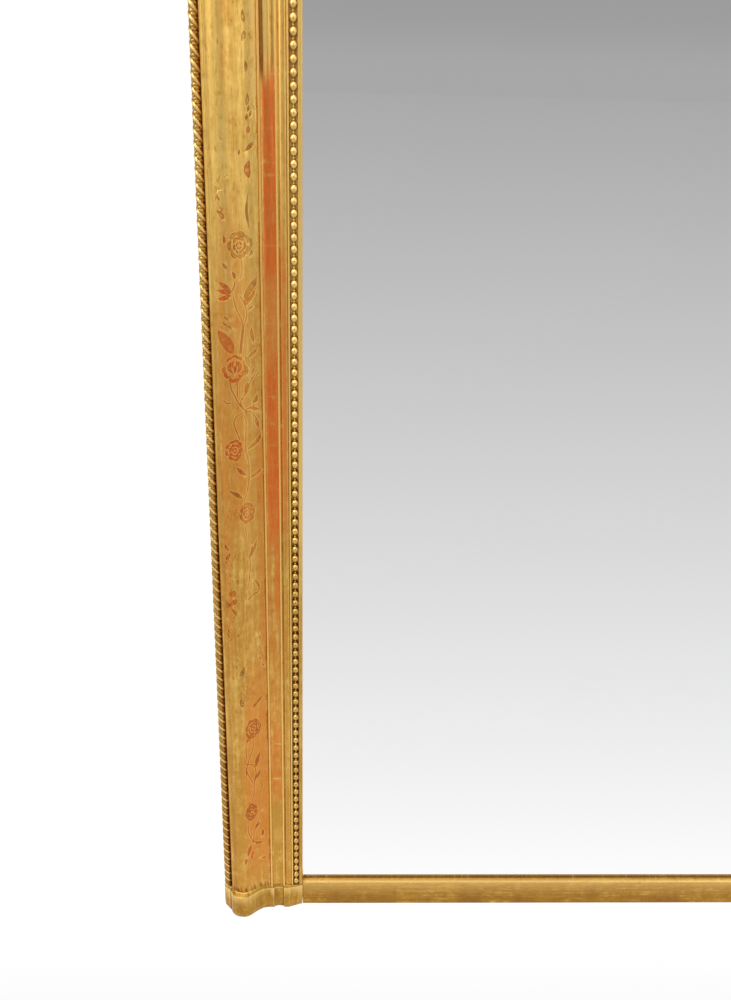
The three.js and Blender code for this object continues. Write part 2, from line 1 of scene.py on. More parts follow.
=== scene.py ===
# %% [markdown]
# # A water-gilt trumeau mirror
# The real frame is pine under gesso, red clay (bole) and gold leaf. The CAD model fixes the sizes and
# places. This notebook gives the same pieces the look of the bench: leaf laid in squares, gold rubbed thin
# over the bole, a floral vine cut into the gesso, a twisted rope and a string of beads. Everything is drawn
# in millimetres and turned into metres only when a mesh is made.

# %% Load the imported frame
import math
from itertools import product

import bmesh
import bpy
import numpy as np
from mathutils import Matrix, Vector
from mathutils.geometry import delaunay_2d_cdt


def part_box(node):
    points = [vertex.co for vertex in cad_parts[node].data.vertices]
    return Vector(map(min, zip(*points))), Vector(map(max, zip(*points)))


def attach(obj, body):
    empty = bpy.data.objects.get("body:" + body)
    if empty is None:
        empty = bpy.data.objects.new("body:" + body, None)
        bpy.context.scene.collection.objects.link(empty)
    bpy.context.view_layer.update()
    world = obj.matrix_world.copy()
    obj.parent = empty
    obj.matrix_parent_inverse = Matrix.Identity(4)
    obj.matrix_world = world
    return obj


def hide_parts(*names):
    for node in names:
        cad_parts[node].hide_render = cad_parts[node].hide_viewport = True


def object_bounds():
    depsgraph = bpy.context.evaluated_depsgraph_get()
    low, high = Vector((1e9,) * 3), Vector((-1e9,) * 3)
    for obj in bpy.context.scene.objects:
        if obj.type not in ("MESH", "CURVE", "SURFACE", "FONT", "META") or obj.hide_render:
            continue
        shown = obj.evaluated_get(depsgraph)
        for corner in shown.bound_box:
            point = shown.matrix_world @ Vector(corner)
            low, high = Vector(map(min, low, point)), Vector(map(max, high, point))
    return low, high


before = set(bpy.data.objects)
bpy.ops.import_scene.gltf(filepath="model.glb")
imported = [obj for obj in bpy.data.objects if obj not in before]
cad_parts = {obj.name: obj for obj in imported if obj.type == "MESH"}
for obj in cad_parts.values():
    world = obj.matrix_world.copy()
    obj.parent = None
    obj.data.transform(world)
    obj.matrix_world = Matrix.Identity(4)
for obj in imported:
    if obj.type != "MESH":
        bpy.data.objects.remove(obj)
cad_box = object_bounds()
MM = 0.001
print("CAD nodes:", len(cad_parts), "box:", [tuple(round(c, 4) for c in p) for p in cad_box])

# %% [markdown]
# ## The driving sizes
# A frame maker works from one outer contour: up a stile, round the shoulder, along the top. Every moulding
# is a section carried along it. The section has two numbers: u, inwards from the contour, and v, forwards
# from the wall. Levels that the CAD already holds are read back from its boxes, so that the two agree.

# %% Sizes in millimetres
def span(node):
    """Lowest and highest corner of a CAD node, in millimetres."""
    low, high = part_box(node)
    return np.array(low) / MM, np.array(high) / MM


WIDTH, HEIGHT, SHOULDER = 1220.0, 1830.0, 210.0
SEAM = 0.3
WALL = cad_box[1].y / MM
HALF = WIDTH / 2
SPRINGING = HEIGHT - SHOULDER  # foot of the shoulders
STRAIGHT = HALF - SHOULDER  # half the straight top
FOOT = span("ogee_moulding_left")[0][2]  # the mouldings stand on the plinths
MOULDING_BACK = WALL - span("ogee_moulding_left")[1][1]
RAIL_FRONT = WALL - span("bottom_rail_gilt")[0][1]
GLASS_FRONT = WALL - span("mirror_plate")[0][1]
GLASS_BACK = WALL - span("mirror_plate")[1][1]
ROPE = 10.6  # rope twist across, which is also where the ogee starts
OGEE_TOE = 65.6
SIGHT_EDGE = 109.9
MID_FACE = 36.0  # u of the middle of the ogee, where runs are measured on the shoulders
TURN_LENGTH = (SHOULDER - MID_FACE) * math.pi / 2
MIDDLE = SPRINGING + TURN_LENGTH + STRAIGHT  # run at the centre of the top
print(f"foot {FOOT:.2f}, rail front {RAIL_FRONT:.2f}, glass {GLASS_BACK:.2f} to {GLASS_FRONT:.2f}")
print(f"run to the middle of the top {MIDDLE:.1f}")

# %% [markdown]
# ## Placing a section on the contour
# A run is a length along the contour: straight up the left stile it is simply the height, on the shoulder
# it is the turned angle times a radius, and along the top it grows with x. The right-hand pieces are the
# left ones mirrored, as a maker cuts them in pairs.

# %% Contour and place
def contour(run):
    """Where a run lies: (x, z) on the outer contour and the inward direction.
    The turn is (run - springing) / radius, held between 0 and a quarter circle; x = -(straight + R cos turn)
    plus what is left of the run, and z = min(run, springing) + R sin turn."""
    run = np.asarray(run, float)
    turn = np.clip((run - SPRINGING) / (SHOULDER - MID_FACE), 0, math.pi / 2)
    along_top = np.maximum(run - SPRINGING - TURN_LENGTH, 0)
    x = along_top - STRAIGHT - SHOULDER * np.cos(turn)
    z = np.minimum(run, SPRINGING) + SHOULDER * np.sin(turn)
    return x, z, np.cos(turn), -np.sin(turn)


def place(run, u, v):
    """Points of the frame in millimetres: contour(run) + u * inwards, with y = wall - v."""
    x, z, in_x, in_z = contour(run)
    return np.stack(np.broadcast_arrays(x + in_x * u, WALL - v, z + in_z * u), -1)


STILE_RUNS = (FOOT, SPRINGING - SEAM)
SHOULDER_RUNS = (SPRINGING, SPRINGING + TURN_LENGTH)
TOP_RUNS = (SPRINGING + TURN_LENGTH + SEAM, 2 * MIDDLE - SPRINGING - TURN_LENGTH - SEAM)
for length, runs in (("stile", STILE_RUNS), ("shoulder", SHOULDER_RUNS), ("top", TOP_RUNS)):
    print(f"{length} runs from {runs[0]:.1f} to {runs[1]:.1f}")

# %% [markdown]
# ## From arrays to a closed mesh
# Each piece is worked out as arrays and handed over in one go. Patches that share an edge are welded, and
# the signed volume says whether the faces look outwards. Numbers that the finishes read, such as how deep
# the gesso is cut, travel with the points as named attributes.

# %% Mesh helpers
HANDS = (("left", False), ("right", True))
WELD = 0.004  # points nearer than this, in millimetres, are one


def ring_quads(rings, count):
    """Faces between neighbouring rings of `count` points: a, a + 1, next ring's a + 1, next ring's a."""
    start = (np.arange(rings - 1) * count)[:, None]
    a, b = start + np.arange(count), start + (np.arange(count) + 1) % count
    return np.stack([a, b, b + count, a + count], -1).reshape(-1, 4).tolist()


def closed_tube(rings, count):
    """The same faces with one more at each end, so that the tube holds water."""
    return ring_quads(rings, count) + [list(range(count)), list(range((rings - 1) * count, rings * count))]


def report_piece(piece, open_edges):
    """Puts a piece into the scene and says how many edges lack a second face: a closed piece has none."""
    bpy.context.scene.collection.objects.link(piece)
    print(f"{piece.name}: {len(piece.data.polygons)} faces, {open_edges} open edges")
    return piece


def solid_piece(name, points, faces, values=None, facing=None, mirror=False, crease=40):
    """One closed mesh from points in millimetres. `values` are numbers for each point, and `facing` the exact
    normals, zero where the mesh's own will do. A mirrored piece has x turned to -x."""
    points = np.array(points, float)
    if mirror:
        points[:, 0] *= -1
    mesh = bpy.data.meshes.new(name)
    mesh.from_pydata(points * MM, [], faces)
    for key, value in (values or {}).items():
        spread = np.broadcast_to(value, len(points)).astype(np.float32)
        mesh.attributes.new(key, "FLOAT", "POINT").data.foreach_set("value", spread)
    if facing is not None:
        facing = np.array(facing, np.float32)
        if mirror:
            facing[:, 0] *= -1
        normals = mesh.attributes.new("facing", "FLOAT_VECTOR", "POINT")
        normals.data.foreach_set("vector", facing.ravel())
    shape = bmesh.new()
    shape.from_mesh(mesh)
    bmesh.ops.remove_doubles(shape, verts=shape.verts, dist=WELD * MM)
    bmesh.ops.recalc_face_normals(shape, faces=shape.faces)
    if shape.calc_volume(signed=True) < 0:
        bmesh.ops.reverse_faces(shape, faces=shape.faces)
    open_edges = sum(not edge.is_manifold for edge in shape.edges)
    shape.to_mesh(mesh)
    shape.free()
    mesh.shade_smooth()
    mesh.set_sharp_from_angle(angle=math.radians(crease))
    if facing is not None:
        exact = np.zeros(len(mesh.vertices) * 3, np.float32)
        mesh.attributes["facing"].data.foreach_get("vector", exact)
        mesh.attributes.remove(mesh.attributes["facing"])
        mesh.normals_split_custom_set_from_vertices(exact.reshape(-1, 3))
    return report_piece(bpy.data.objects.new(name, mesh), open_edges)


def finish_piece(piece, material, slot, *nodes):
    """Gives a piece its finish, hides the CAD nodes that it replaces and hangs it on the frame's one body to
    ride on; `slot` is not used.
    """
    piece.data.materials.clear()
    piece.data.materials.append(material)
    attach(piece, "root")
    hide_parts(*nodes)
    return piece


def five_lengths(make, name, node, straight_step, shoulder_step):
    """A moulding's five lengths: a stile and a shoulder for each hand, and the top between them."""
    for hand, mirror in HANDS:
        make(f"{name}_{hand}", STILE_RUNS, straight_step, f"{node}_{hand}", mirror)
        make(f"{name}_shoulder_{hand}", SHOULDER_RUNS, shoulder_step, f"{node}_shoulder_{hand}", mirror)
    make(f"{name}_top", TOP_RUNS, straight_step, f"{node}_top")


# %% Section helpers
def outline(start, *moves, steps=14):
    """A section drawn from a start point. A move of one point is a straight line, of two a quadratic Bezier
    curve and of three a cubic one: the sum of comb(n, k) t^k (1 - t)^(n - k) times each control point."""
    drawn = [np.array([start], float)]
    for move in moves:
        control = np.vstack([drawn[-1][-1:], np.reshape(move, (-1, 2))])
        order = len(control) - 1
        t = np.linspace(0, 1, 2 if order == 1 else steps + 1)[1:, None]
        weights = [math.comb(order, k) * t**k * (1 - t) ** (order - k) for k in range(order + 1)]
        drawn.append(sum(weight * point for weight, point in zip(weights, control)))
    return np.vstack(drawn)


def bends(section):
    """Angle in degrees by which a closed section turns at each of its points: arccos of -before . after."""
    before, after = np.roll(section, 1, 0) - section, np.roll(section, -1, 0) - section
    turn = (before * after).sum(1) / np.linalg.norm(before, axis=1) / np.linalg.norm(after, axis=1)
    return np.degrees(np.arccos(np.clip(-turn, -1, 1)))


def eased(section, radius=0.5, steps=3, sharpest=24, like=None):
    """A closed section with its corners rounded as gesso rounds them: each corner p becomes the curve
    (1 - t)^2 p_before + 2 t (1 - t) p + t^2 p_after, between points `radius` away on either side, with one
    more point outside each end so that the flats stay flat. The corners are found on `like`, if given."""
    bend = bends(section if like is None else like)
    before, after = np.roll(section, 1, 0) - section, np.roll(section, -1, 0) - section
    length_before, length_after = np.linalg.norm(before, axis=1), np.linalg.norm(after, axis=1)
    reach = np.minimum(radius, 0.4 * np.minimum(length_before, length_after))[:, None]
    before, after = before / length_before[:, None], after / length_after[:, None]
    t = np.linspace(0, 1, steps + 1)[None, :, None]
    first, last = section + before * reach, section + after * reach
    curve = (1 - t) ** 2 * first[:, None] + 2 * t * (1 - t) * section[:, None] + t**2 * last[:, None]
    beyond_first, beyond_last = section + before * reach * 1.2, section + after * reach * 1.2
    curve = np.concatenate([beyond_first[:, None], curve, beyond_last[:, None]], 1)
    corner = bend > sharpest
    return np.concatenate([curve[i] if corner[i] else section[i : i + 1] for i in range(len(section))])


def arc_along(section):
    """Length along a drawn section up to each of its points."""
    return np.concatenate([[0], np.cumsum(np.linalg.norm(np.diff(section, axis=0), axis=1))])


def runs_between(ends, spacing):
    """Even runs from end to end, about `spacing` mm apart."""
    return np.linspace(*ends, max(2, int(round((ends[1] - ends[0]) / spacing)) + 1))


def swept(section, runs, bole, edge, dirt_and_shade):
    """A section carried along runs: its points, its closed faces and the numbers for its finish."""
    rings, count = len(runs), len(section)
    points = place(runs[:, None], section[None, :, 0], section[None, :, 1]).reshape(-1, 3)
    numbers = {"run": runs[:, None], "across": arc_along(section), "bole": bole, "edge": edge, "dirt_and_shade": dirt_and_shade}
    values = {key: np.broadcast_to(value, (rings, count)).ravel() for key, value in numbers.items()}
    return points, closed_tube(rings, count), values


def convexity(section, reach=1.0):
    """How far each point of a closed section stands out of the chord between its neighbours `reach` mm away:
    near 1 on an arris, 0 on a flat, -1 in a corner."""
    loop = np.vstack([section, section[:1]])
    length = arc_along(loop)

    def at(s):
        return np.stack([np.interp(s % length[-1], length, loop[:, k]) for k in (0, 1)], -1)

    chord = (at(length[:-1] - reach) + at(length[:-1] + reach)) / 2
    tangent = at(length[:-1] + reach) - at(length[:-1] - reach)
    normal = np.stack([-tangent[:, 1], tangent[:, 0]], -1) / (np.linalg.norm(tangent, axis=1)[:, None] + 1e-9)
    area = 0.5 * np.sum(loop[:-1, 0] * loop[1:, 1] - loop[1:, 0] * loop[:-1, 1])
    return np.clip(-np.sign(area) * ((section - chord) * normal).sum(1) * 2.2 / reach, -1, 1)


print("a 10 mm square has", len(eased(np.array([[0, 0], [10, 0], [10, 10], [0, 10.0]]))), "points once eased")

# %% [markdown]
# ## Gilding
# Water gilding is red bole under leaf only a ten-thousandth of a millimetre thick. Leaf comes in 80 mm
# squares, laid with a small overlap, so every 83 mm or so a line of double gold crosses the moulding and
# the tone changes a little. Burnishing draws faint streaks along the moulding, and rubbing shows the bole.
# A metallic Principled shader carries it: noise stretched along the run makes the streaks, a floor of the
# run gives each leaf its own tone, and the `bole` and `stain` attributes say where the clay shows. Light and
# shade are painted into the colour too: `cut` fills the cuts with clay red where stained and elsewhere with a
# brown gold that is painted shade; `edge` paints a highlight in pale gold where it is above 0 and painted
# shade in dark brown where it is below; a browning attribute darkens the gold for dirt and as painted shade;
# and on the rope and the beads `bole` lays dark clay where shade is painted.

# %% Node helpers
class Nodes:
    """A short hand for building a node tree: each call adds a node, sets its inputs and gives its output."""

    def __init__(self, owner):
        self.owner = owner
        owner.use_nodes = True
        self.tree = owner.node_tree
        self.tree.nodes.clear()

    def node(self, kind, inputs=None, output=0, **settings):
        """Adds a node. An input that is a socket is linked, and any other value is set."""
        made = self.tree.nodes.new(kind)
        for key, value in settings.items():
            setattr(made, key, value)
        for key, value in (inputs or {}).items():
            if isinstance(value, bpy.types.NodeSocket):
                self.tree.links.new(value, made.inputs[key])
            else:
                made.inputs[key].default_value = value
        return made.outputs[output] if made.outputs else None

    def attribute(self, name):
        """A number that the mesh carries at its points, and 0 if it carries none of that name."""
        return self.node("ShaderNodeAttribute", output="Fac", attribute_name=name)

    def math(self, operation, a, b=0.0, c=0.0, clamp=False):
        """One operation on up to three numbers."""
        return self.node("ShaderNodeMath", {0: a, 1: b, 2: c}, operation=operation, use_clamp=clamp)

    def between(self, value, low, high, to_low=0.0, to_high=1.0):
        """Smooth step of a value from to_low at `low` to to_high at `high`."""
        return self.node(
            "ShaderNodeMapRange",
            {"Value": value, "From Min": low, "From Max": high, "To Min": to_low, "To Max": to_high},
            interpolation_type="SMOOTHSTEP",
        )

    def blend(self, amount, a, b):
        """Colour a where the amount is 0, colour b where it is 1."""
        return self.node("ShaderNodeMix", {0: amount, 6: a, 7: b}, output=2, data_type="RGBA")

    def noise(self, vector, scale, detail=3.0, roughness=0.55, distortion=0.0):
        """Soft noise about 0.5, with `scale` features to a unit of the vector."""
        inputs = {"Vector": vector, "Scale": scale, "Detail": detail, "Roughness": roughness}
        return self.node("ShaderNodeTexNoise", {**inputs, "Distortion": distortion})

    def place(self, x, y, z):
        """Three numbers as one vector."""
        return self.node("ShaderNodeCombineXYZ", {0: x, 1: y, 2: z})

    def stretched(self, vector, scale):
        """A vector scaled along each axis."""
        return self.node("ShaderNodeMapping", {"Vector": vector, "Scale": scale})

    def here(self):
        """The place on the object, in metres."""
        return self.node("ShaderNodeTexCoord", output="Object")

    def bump(self, height, distance, strength=1.0):
        """A normal tilted by a height, of which 1 stands for `distance` metres."""
        return self.node("ShaderNodeBump", {"Height": height, "Distance": distance, "Strength": strength})

    def surface(self, linked, fixed):
        """The Principled shader: `linked` inputs come from nodes, `fixed` ones are set on its own sockets."""
        shader = self.node("ShaderNodeBsdfPrincipled", {**linked, **fixed})
        self.node("ShaderNodeOutputMaterial", {"Surface": shader})
        return self.owner


def colour(red, green, blue):
    """A display colour (0 to 255) as the linear colour that the shader wants."""
    share = np.array([red, green, blue]) / 255
    linear = np.where(share <= 0.04045, share / 12.92, ((share + 0.055) / 1.055) ** 2.4)
    return (*linear, 1.0)


# %% The gold finishes
LEAF_PITCH = 83.0  # squares of 80 mm leaf, as laid
LAP_WIDTH = 1.2


def gilding(name, light, deep, bole, rough=0.36, seed=0.0, gleam=colour(250, 208, 126), dirt=0.4):
    """Gold over bole. `gleam` is the pale gold painted as a highlight where the `edge` attribute is above 0,
    and `dirt` the share of brown flecks.
    """
    n = Nodes(bpy.data.materials.new(name))
    run, across, here = n.attribute("run"), n.attribute("across"), n.here()

    def along(per_run, per_across, shift):
        """Noise over the run and the arc, by so many steps to a millimetre of each."""
        place = n.place(n.math("MULTIPLY", run, per_run), n.math("MULTIPLY", across, per_across), shift)
        return n.noise(place, 1.0, 4.0, 0.65)

    streaks, flecks = along(0.014, 0.24, seed), along(0.11, 0.34, seed + 5.0)
    mottle = n.noise(here, 70.0, 6.0, 0.7)
    squares = n.math("DIVIDE", n.math("ADD", run, 42.0 + seed * 11.0), LEAF_PITCH)
    tone = n.node("ShaderNodeTexWhiteNoise", {"W": n.math("FLOOR", squares)}, noise_dimensions="1D")
    waver = n.math("MULTIPLY", n.noise(here, 90.0, 2.0), 0.012)
    lap = n.between(n.math("FRACT", n.math("ADD", squares, waver)), 0.0, LAP_WIDTH / LEAF_PITCH, 1.0, 0.0)

    depth = n.math("MULTIPLY_ADD", streaks, 1.7, -0.75)
    for part, weight in ((mottle, 1.1), (flecks, 1.0), (tone, 0.2)):
        depth = n.math("MULTIPLY_ADD", part, weight, n.math("SUBTRACT", depth, 0.42 * weight))
    # The browning attribute darkens the gold: partly dirt, partly painted shade.
    depth = n.math("ADD", depth, n.math("MULTIPLY", n.attribute("dirt_and_shade"), 0.7), clamp=True)
    gold = n.blend(depth, light, deep)

    patchy = n.math("MULTIPLY_ADD", streaks, 1.6, n.math("MULTIPLY_ADD", mottle, 0.6, -1.1))
    worn = n.attribute("bole")
    worn = n.math("MULTIPLY_ADD", patchy, n.between(worn, 0.0, 0.3), worn, clamp=True)
    worn = n.math("MULTIPLY", worn, n.math("MULTIPLY_ADD", lap, -0.6, 1.0), clamp=True)
    bole = n.blend(n.between(streaks, 0.35, 0.65), bole, n.blend(0.22, bole, light))
    shown = n.blend(worn, gold, bole)

    # Cuts filled with a darker tone: clay red where stained, elsewhere a brown gold that is painted shade in
    # the recess.
    stain = n.attribute("stain")
    filled = n.math("MULTIPLY", n.attribute("cut"), n.between(stain, 0.2, 1.0, 0.3, 0.65))
    filled = n.math("MULTIPLY", filled, n.between(n.noise(here, 380.0, 3.0, 0.7), 0.4, 0.58, 0.3, 1.0))
    shown = n.blend(filled, shown, n.blend(stain, colour(196, 142, 62), colour(232, 104, 44)))
    # Painted highlight: where `edge` is above 0 the colour turns towards the pale `gleam` gold.
    edge = n.attribute("edge")
    shown = n.blend(n.between(edge, 0.1, 0.9, 0.0, 0.8), shown, gleam)
    # Painted shade: where `edge` is below 0 the colour turns to dark brown, red in stained cuts.
    dark = n.blend(n.math("MULTIPLY", stain, n.attribute("cut")), colour(116, 64, 18), colour(184, 66, 24))
    shown = n.blend(n.between(edge, -0.1, -0.9, 0.0, 0.9), shown, dark)
    spots = n.math("MULTIPLY_ADD", flecks, 0.6, n.math("MULTIPLY", mottle, 0.4))
    shown = n.blend(n.between(spots, 0.55, 0.66, 0.0, dirt), shown, colour(134, 88, 34))
    shown = n.blend(n.between(spots, 0.42, 0.34, 0.0, 0.3), shown, colour(244, 206, 124))
    shown = n.blend(n.between(along(0.2, 1.3, seed + 9.0), 0.6, 0.7, 0.0, 0.35), shown, colour(255, 224, 150))

    dullness = n.math("MULTIPLY_ADD", mottle, 0.6, n.math("MULTIPLY", streaks, 0.4))
    roughness = n.between(dullness, 0.3, 0.7, rough - 0.06, rough + 0.1)
    relief = n.math("MULTIPLY_ADD", streaks, 0.6, n.math("MULTIPLY", lap, 0.25))
    relief = n.math("MULTIPLY_ADD", flecks, 0.5, relief)
    return n.surface(
        {"Base Color": shown, "Roughness": roughness, "Normal": n.bump(relief, 0.00012, 1.0)},
        {"Metallic": 0.9, "Specular IOR Level": 0.4},
    )


GOLD_LIGHT, GOLD_DEEP, BOLE = colour(244, 206, 114), colour(196, 146, 60), colour(222, 98, 32)
face_gold = gilding(
    "water_gilding_face", GOLD_LIGHT, GOLD_DEEP, colour(214, 122, 44), 0.42, seed=1.0, dirt=0.3
)
# The colour after the seed is the hollow's painted highlight.
hollow_gold = gilding(
    "water_gilding_hollow", GOLD_LIGHT, GOLD_DEEP, BOLE, 0.36, 2.0, colour(255, 210, 118), 0.25
)
# On the rope and the beads this clay colour, the third, also serves as painted shade; the colour after the
# seed below is their painted highlight.
ORNAMENT_COLOURS = colour(240, 210, 124), colour(198, 152, 70), colour(140, 82, 32)
ornament_gold = gilding("ornament_gilding", *ORNAMENT_COLOURS, 0.32, 3.0, colour(255, 216, 136))
RAIL_COLOURS = colour(214, 172, 76), colour(166, 118, 36), colour(124, 72, 24)
rail_gold = gilding("rail_gilding", *RAIL_COLOURS, 0.42, seed=4.0)
print("gold finishes:", [m.name for m in (face_gold, hollow_gold, ornament_gold, rail_gold)])

# %% [markdown]
# ## The ogee's section
# The wide ogee is the frame's main moulding: a steep outer round, a quirk, then one long double curve that
# falls to the hollow. The curve is the same one that the CAD carries, sampled much more finely. Its broad
# face is measured by the arc length from the crown, because that is how a carver would lay out a drawing on
# it.

# %% Ogee section
CROWN_U = ROPE + 18.0
OGEE_RISE = 21.0
TOE_RISE = 7.0


def on_ogee(u, rise):
    """A section point `u` inwards of where the ogee starts and `rise` in front of the rail."""
    return (ROPE + u, RAIL_FRONT + rise)


face_line = outline(
    on_ogee(5.3, 0.81 * OGEE_RISE - 0.7),
    [on_ogee(8.0, 0.97 * OGEE_RISE), on_ogee(12.0, OGEE_RISE), on_ogee(18.0, OGEE_RISE)],
    [on_ogee(30.5, OGEE_RISE), on_ogee(35.5, 7.4), on_ogee(51.4, TOE_RISE)],
    [on_ogee(55.0, TOE_RISE)],
    steps=160,
)
face_arc = arc_along(face_line)
face_arc -= np.interp(CROWN_U, face_line[:, 0], face_arc)
face_slope = np.gradient(face_line, face_arc, axis=0)
face_slope /= np.linalg.norm(face_slope, axis=1)[:, None]
OUTER_ARC, TOE_ARC = face_arc[0], face_arc[-1]
ogee_rest = outline(
    face_line[-1],
    [(OGEE_TOE, MOULDING_BACK)],
    [(2.0, MOULDING_BACK)],
    [(2.0, RAIL_FRONT - SEAM)],
    [on_ogee(0.3, -0.3)],
    [on_ogee(0.3, 0.38 * OGEE_RISE)],
    [on_ogee(0.9, 0.7 * OGEE_RISE), on_ogee(1.84, 0.78 * OGEE_RISE), on_ogee(4.6, 0.81 * OGEE_RISE)],
    [face_line[0]],
)
print(f"the ogee's face runs from {OUTER_ARC:.1f} to {TOE_ARC:.1f} mm either side of its crown")


# %% Points on the broad face
def on_face(run, arc, sunk=0.0):
    """A point of the broad face, `sunk` mm below it: place(run, u, v) less the normal times sunk."""
    u, v = (np.interp(arc, face_arc, face_line[:, k]) for k in (0, 1))
    slope_u, slope_v = (np.interp(arc, face_arc, face_slope[:, k]) for k in (0, 1))
    return place(run, u + slope_v * sunk, v - slope_u * sunk)


def face_normal(run, arc, steep_run, steep_arc):
    """The exact normal of the sunk face: the section's normal, tilted by how the depth grows along the run
    and across the arc, n + depth_run * t_run + depth_arc * t_arc."""
    slope_u, slope_v = (np.interp(arc, face_arc, face_slope[:, k]) for k in (0, 1))
    _, _, in_x, in_z = contour(run)
    normal = np.stack([-slope_v * in_x, -slope_u, -slope_v * in_z], -1)
    across = np.stack([slope_u * in_x, -slope_v, slope_u * in_z], -1)
    along = np.stack([-in_z, 0 * run, in_x], -1)
    tilted = normal + along * steep_run[:, None] + across * steep_arc[:, None]
    return tilted / np.linalg.norm(tilted, axis=1)[:, None]


# %% [markdown]
# ## Cutting the vine
# On the real frame the vine is recut into the gesso with small gouges before gilding: a stem is one thin
# scratch, a leaf or a petal is a scooped cut that is widest in its middle, and the ridges left between the
# cuts draw the flower. So every mark here is one stroke: a centre line with a half width along it. A leaf
# may keep a raised vein. Strokes are drawn on the unrolled face, run upwards and arc sideways, in
# millimetres.

# %% Strokes
strokes = []


def smooth_line(points, spacing):
    """A Catmull-Rom curve through the points, with a point every `spacing` mm."""
    points = np.array(points, float)
    padded = np.vstack([2 * points[0] - points[1], points, 2 * points[-1] - points[-2]])
    p0, p1, p2, p3 = (padded[k : len(padded) - 3 + k][:, None] for k in range(4))
    t = np.linspace(0, 1, 24, endpoint=False)[None, :, None]
    rate, bend, twist = p2 - p0, 2 * p0 - 5 * p1 + 4 * p2 - p3, 3 * p1 - p0 - 3 * p2 + p3
    curve = 0.5 * (2 * p1 + rate * t + bend * t**2 + twist * t**3)
    curve = np.vstack([curve.reshape(-1, 2), points[-1:]])
    length = arc_along(curve)
    even = np.linspace(0, length[-1], max(4, int(round(length[-1] / spacing)) + 1))
    return np.stack([np.interp(even, length, curve[:, k]) for k in (0, 1)], -1)


def stroke(line, half, depth, vein, stain, cut_shade):
    """Adds one mark: a centre line, its half widths, its depth and its shares of vein, stain and painted
    shade along its walls.
    """
    half = np.maximum(half, 0.05)
    strokes.append({"line": line, "half": half, "depth": depth, "vein": vein, "stain": stain, "cut_shade": cut_shade})


def stem(*points, width=2.0, stain=0.45, depth=0.4, cut_shade=0.7):
    """A thin scratch through the points, fading at its ends."""
    line = smooth_line(points, 1.6)
    t = np.linspace(0, 1, len(line))
    stroke(line, width / 2 * np.minimum(1, 0.4 + 8 * np.minimum(t, 1 - t)), depth, 0.0, stain, cut_shade)


def leaf(base, tip, width=6.0, bow=0.0, stain=0.4, vein=0.7, belly=0.8, depth=0.5, cut_shade=0.62):
    """A scooped leaf: a centre line from base to tip, bent sideways by `bow`, with the half width
    width / 2 * sin(pi t^belly)^0.8 and a vein left standing down its middle."""
    base, tip = np.array(base, float), np.array(tip, float)
    side = np.array([-(tip - base)[1], (tip - base)[0]])
    side /= np.linalg.norm(side)
    line = smooth_line([base, (base + tip) / 2 + bow * side, tip], 1.1)
    t = np.linspace(0, 1, len(line))
    stroke(line, width / 2 * np.sin(math.pi * t**belly) ** 0.8, depth, vein, stain, cut_shade)


# %% Flowers
chance = np.random.default_rng(12)
blushes = []  # (run, arc, radius, squeeze, share of clay) of the red clouds round the flowers


def petals(centre, count, ring, span, width, stain, turn=0.0, squeeze=1.0, part=360, cut_shade=0.6):
    """A whorl of petals seen end on: scooped arcs round the centre, fullest in their middle, with a thin
    ridge left between neighbours. Small seeded differences keep them hand made; `squeeze` narrows it."""
    s = np.linspace(-1, 1, 9)
    for k in range(count):
        angle = math.radians(turn + part * (k + chance.uniform(-0.1, 0.1)) / count)
        sweep = angle + math.radians(span / 2) * s
        reach = ring * chance.uniform(0.93, 1.07) * (1 - 0.1 * s**2)
        line = np.array(centre) + reach[:, None] * np.stack([np.cos(sweep), squeeze * np.sin(sweep)], -1)
        narrowed = np.hypot(np.cos(sweep), squeeze * np.sin(sweep))
        fullness = width / 2 * narrowed * chance.uniform(0.85, 1.1) * (1 - s**4) ** 0.6
        stroke(line, fullness, 0.5, 0.0, stain, cut_shade)


def rose(run, arc, size, stain=0.9, turn=0.0, squeeze=1.0, cut_shade=0.6):
    """An open rose: seven outer petals, five behind one another inside them, and three round the heart."""
    centre = (run, arc)
    petals(centre, 7, 0.4 * size, 46, 0.17 * size, stain, turn, squeeze, cut_shade=cut_shade)
    petals(centre, 5, 0.235 * size, 60, 0.12 * size, stain, turn + 20, squeeze, cut_shade=cut_shade)
    petals(centre, 3, 0.1 * size, 100, 0.09 * size, stain, turn + 50, squeeze, cut_shade=cut_shade)
    blushes.append((run, arc, 0.53 * size, squeeze, stain))


def cup(run, arc, size, stain=0.9):
    """A rose seen from the side: a bowl of petals that meet at the stalk, over a fringe of outer ones."""

    def at(up, side):
        """The point so many sizes above the centre and beside it."""
        return (run + up * size, arc + side * size)

    petals(at(-0.04, 0), 6, 0.4 * size, 34, 0.15 * size, stain, 95, part=204)
    petals(at(0.1, 0), 3, 0.3 * size, 40, 0.12 * size, stain, -45, part=135)
    for side in (-1, 1):
        leaf(at(-0.22, 0.05 * side), at(0.24, 0.14 * side), 0.15 * size, 0.11 * size * side, stain, 0, 1.2)
        leaf(at(0.0, 0.07 * side), at(0.28, 0.04 * side), 0.09 * size, 0.03 * size * side, stain, 0, 1.2)
    leaf(at(-0.2, 0.0), at(0.1, 0.0), 0.12 * size, 0, stain, 0, 1.3)
    blushes.append((run, arc, 0.5 * size, 1.0, stain))


def carnation(run, arc, size, stain=1.0, turn=0.0, squeeze=0.85):
    """A ragged flower: a fringe of narrow petals round two tighter whorls."""
    centre = (run, arc)
    petals(centre, 9, 0.41 * size, 33, 0.15 * size, stain, turn, squeeze)
    petals(centre, 6, 0.25 * size, 46, 0.12 * size, stain, turn + 25, squeeze)
    petals(centre, 3, 0.1 * size, 95, 0.1 * size, stain, turn + 30, squeeze)
    blushes.append((run, arc, 0.52 * size, squeeze, stain))


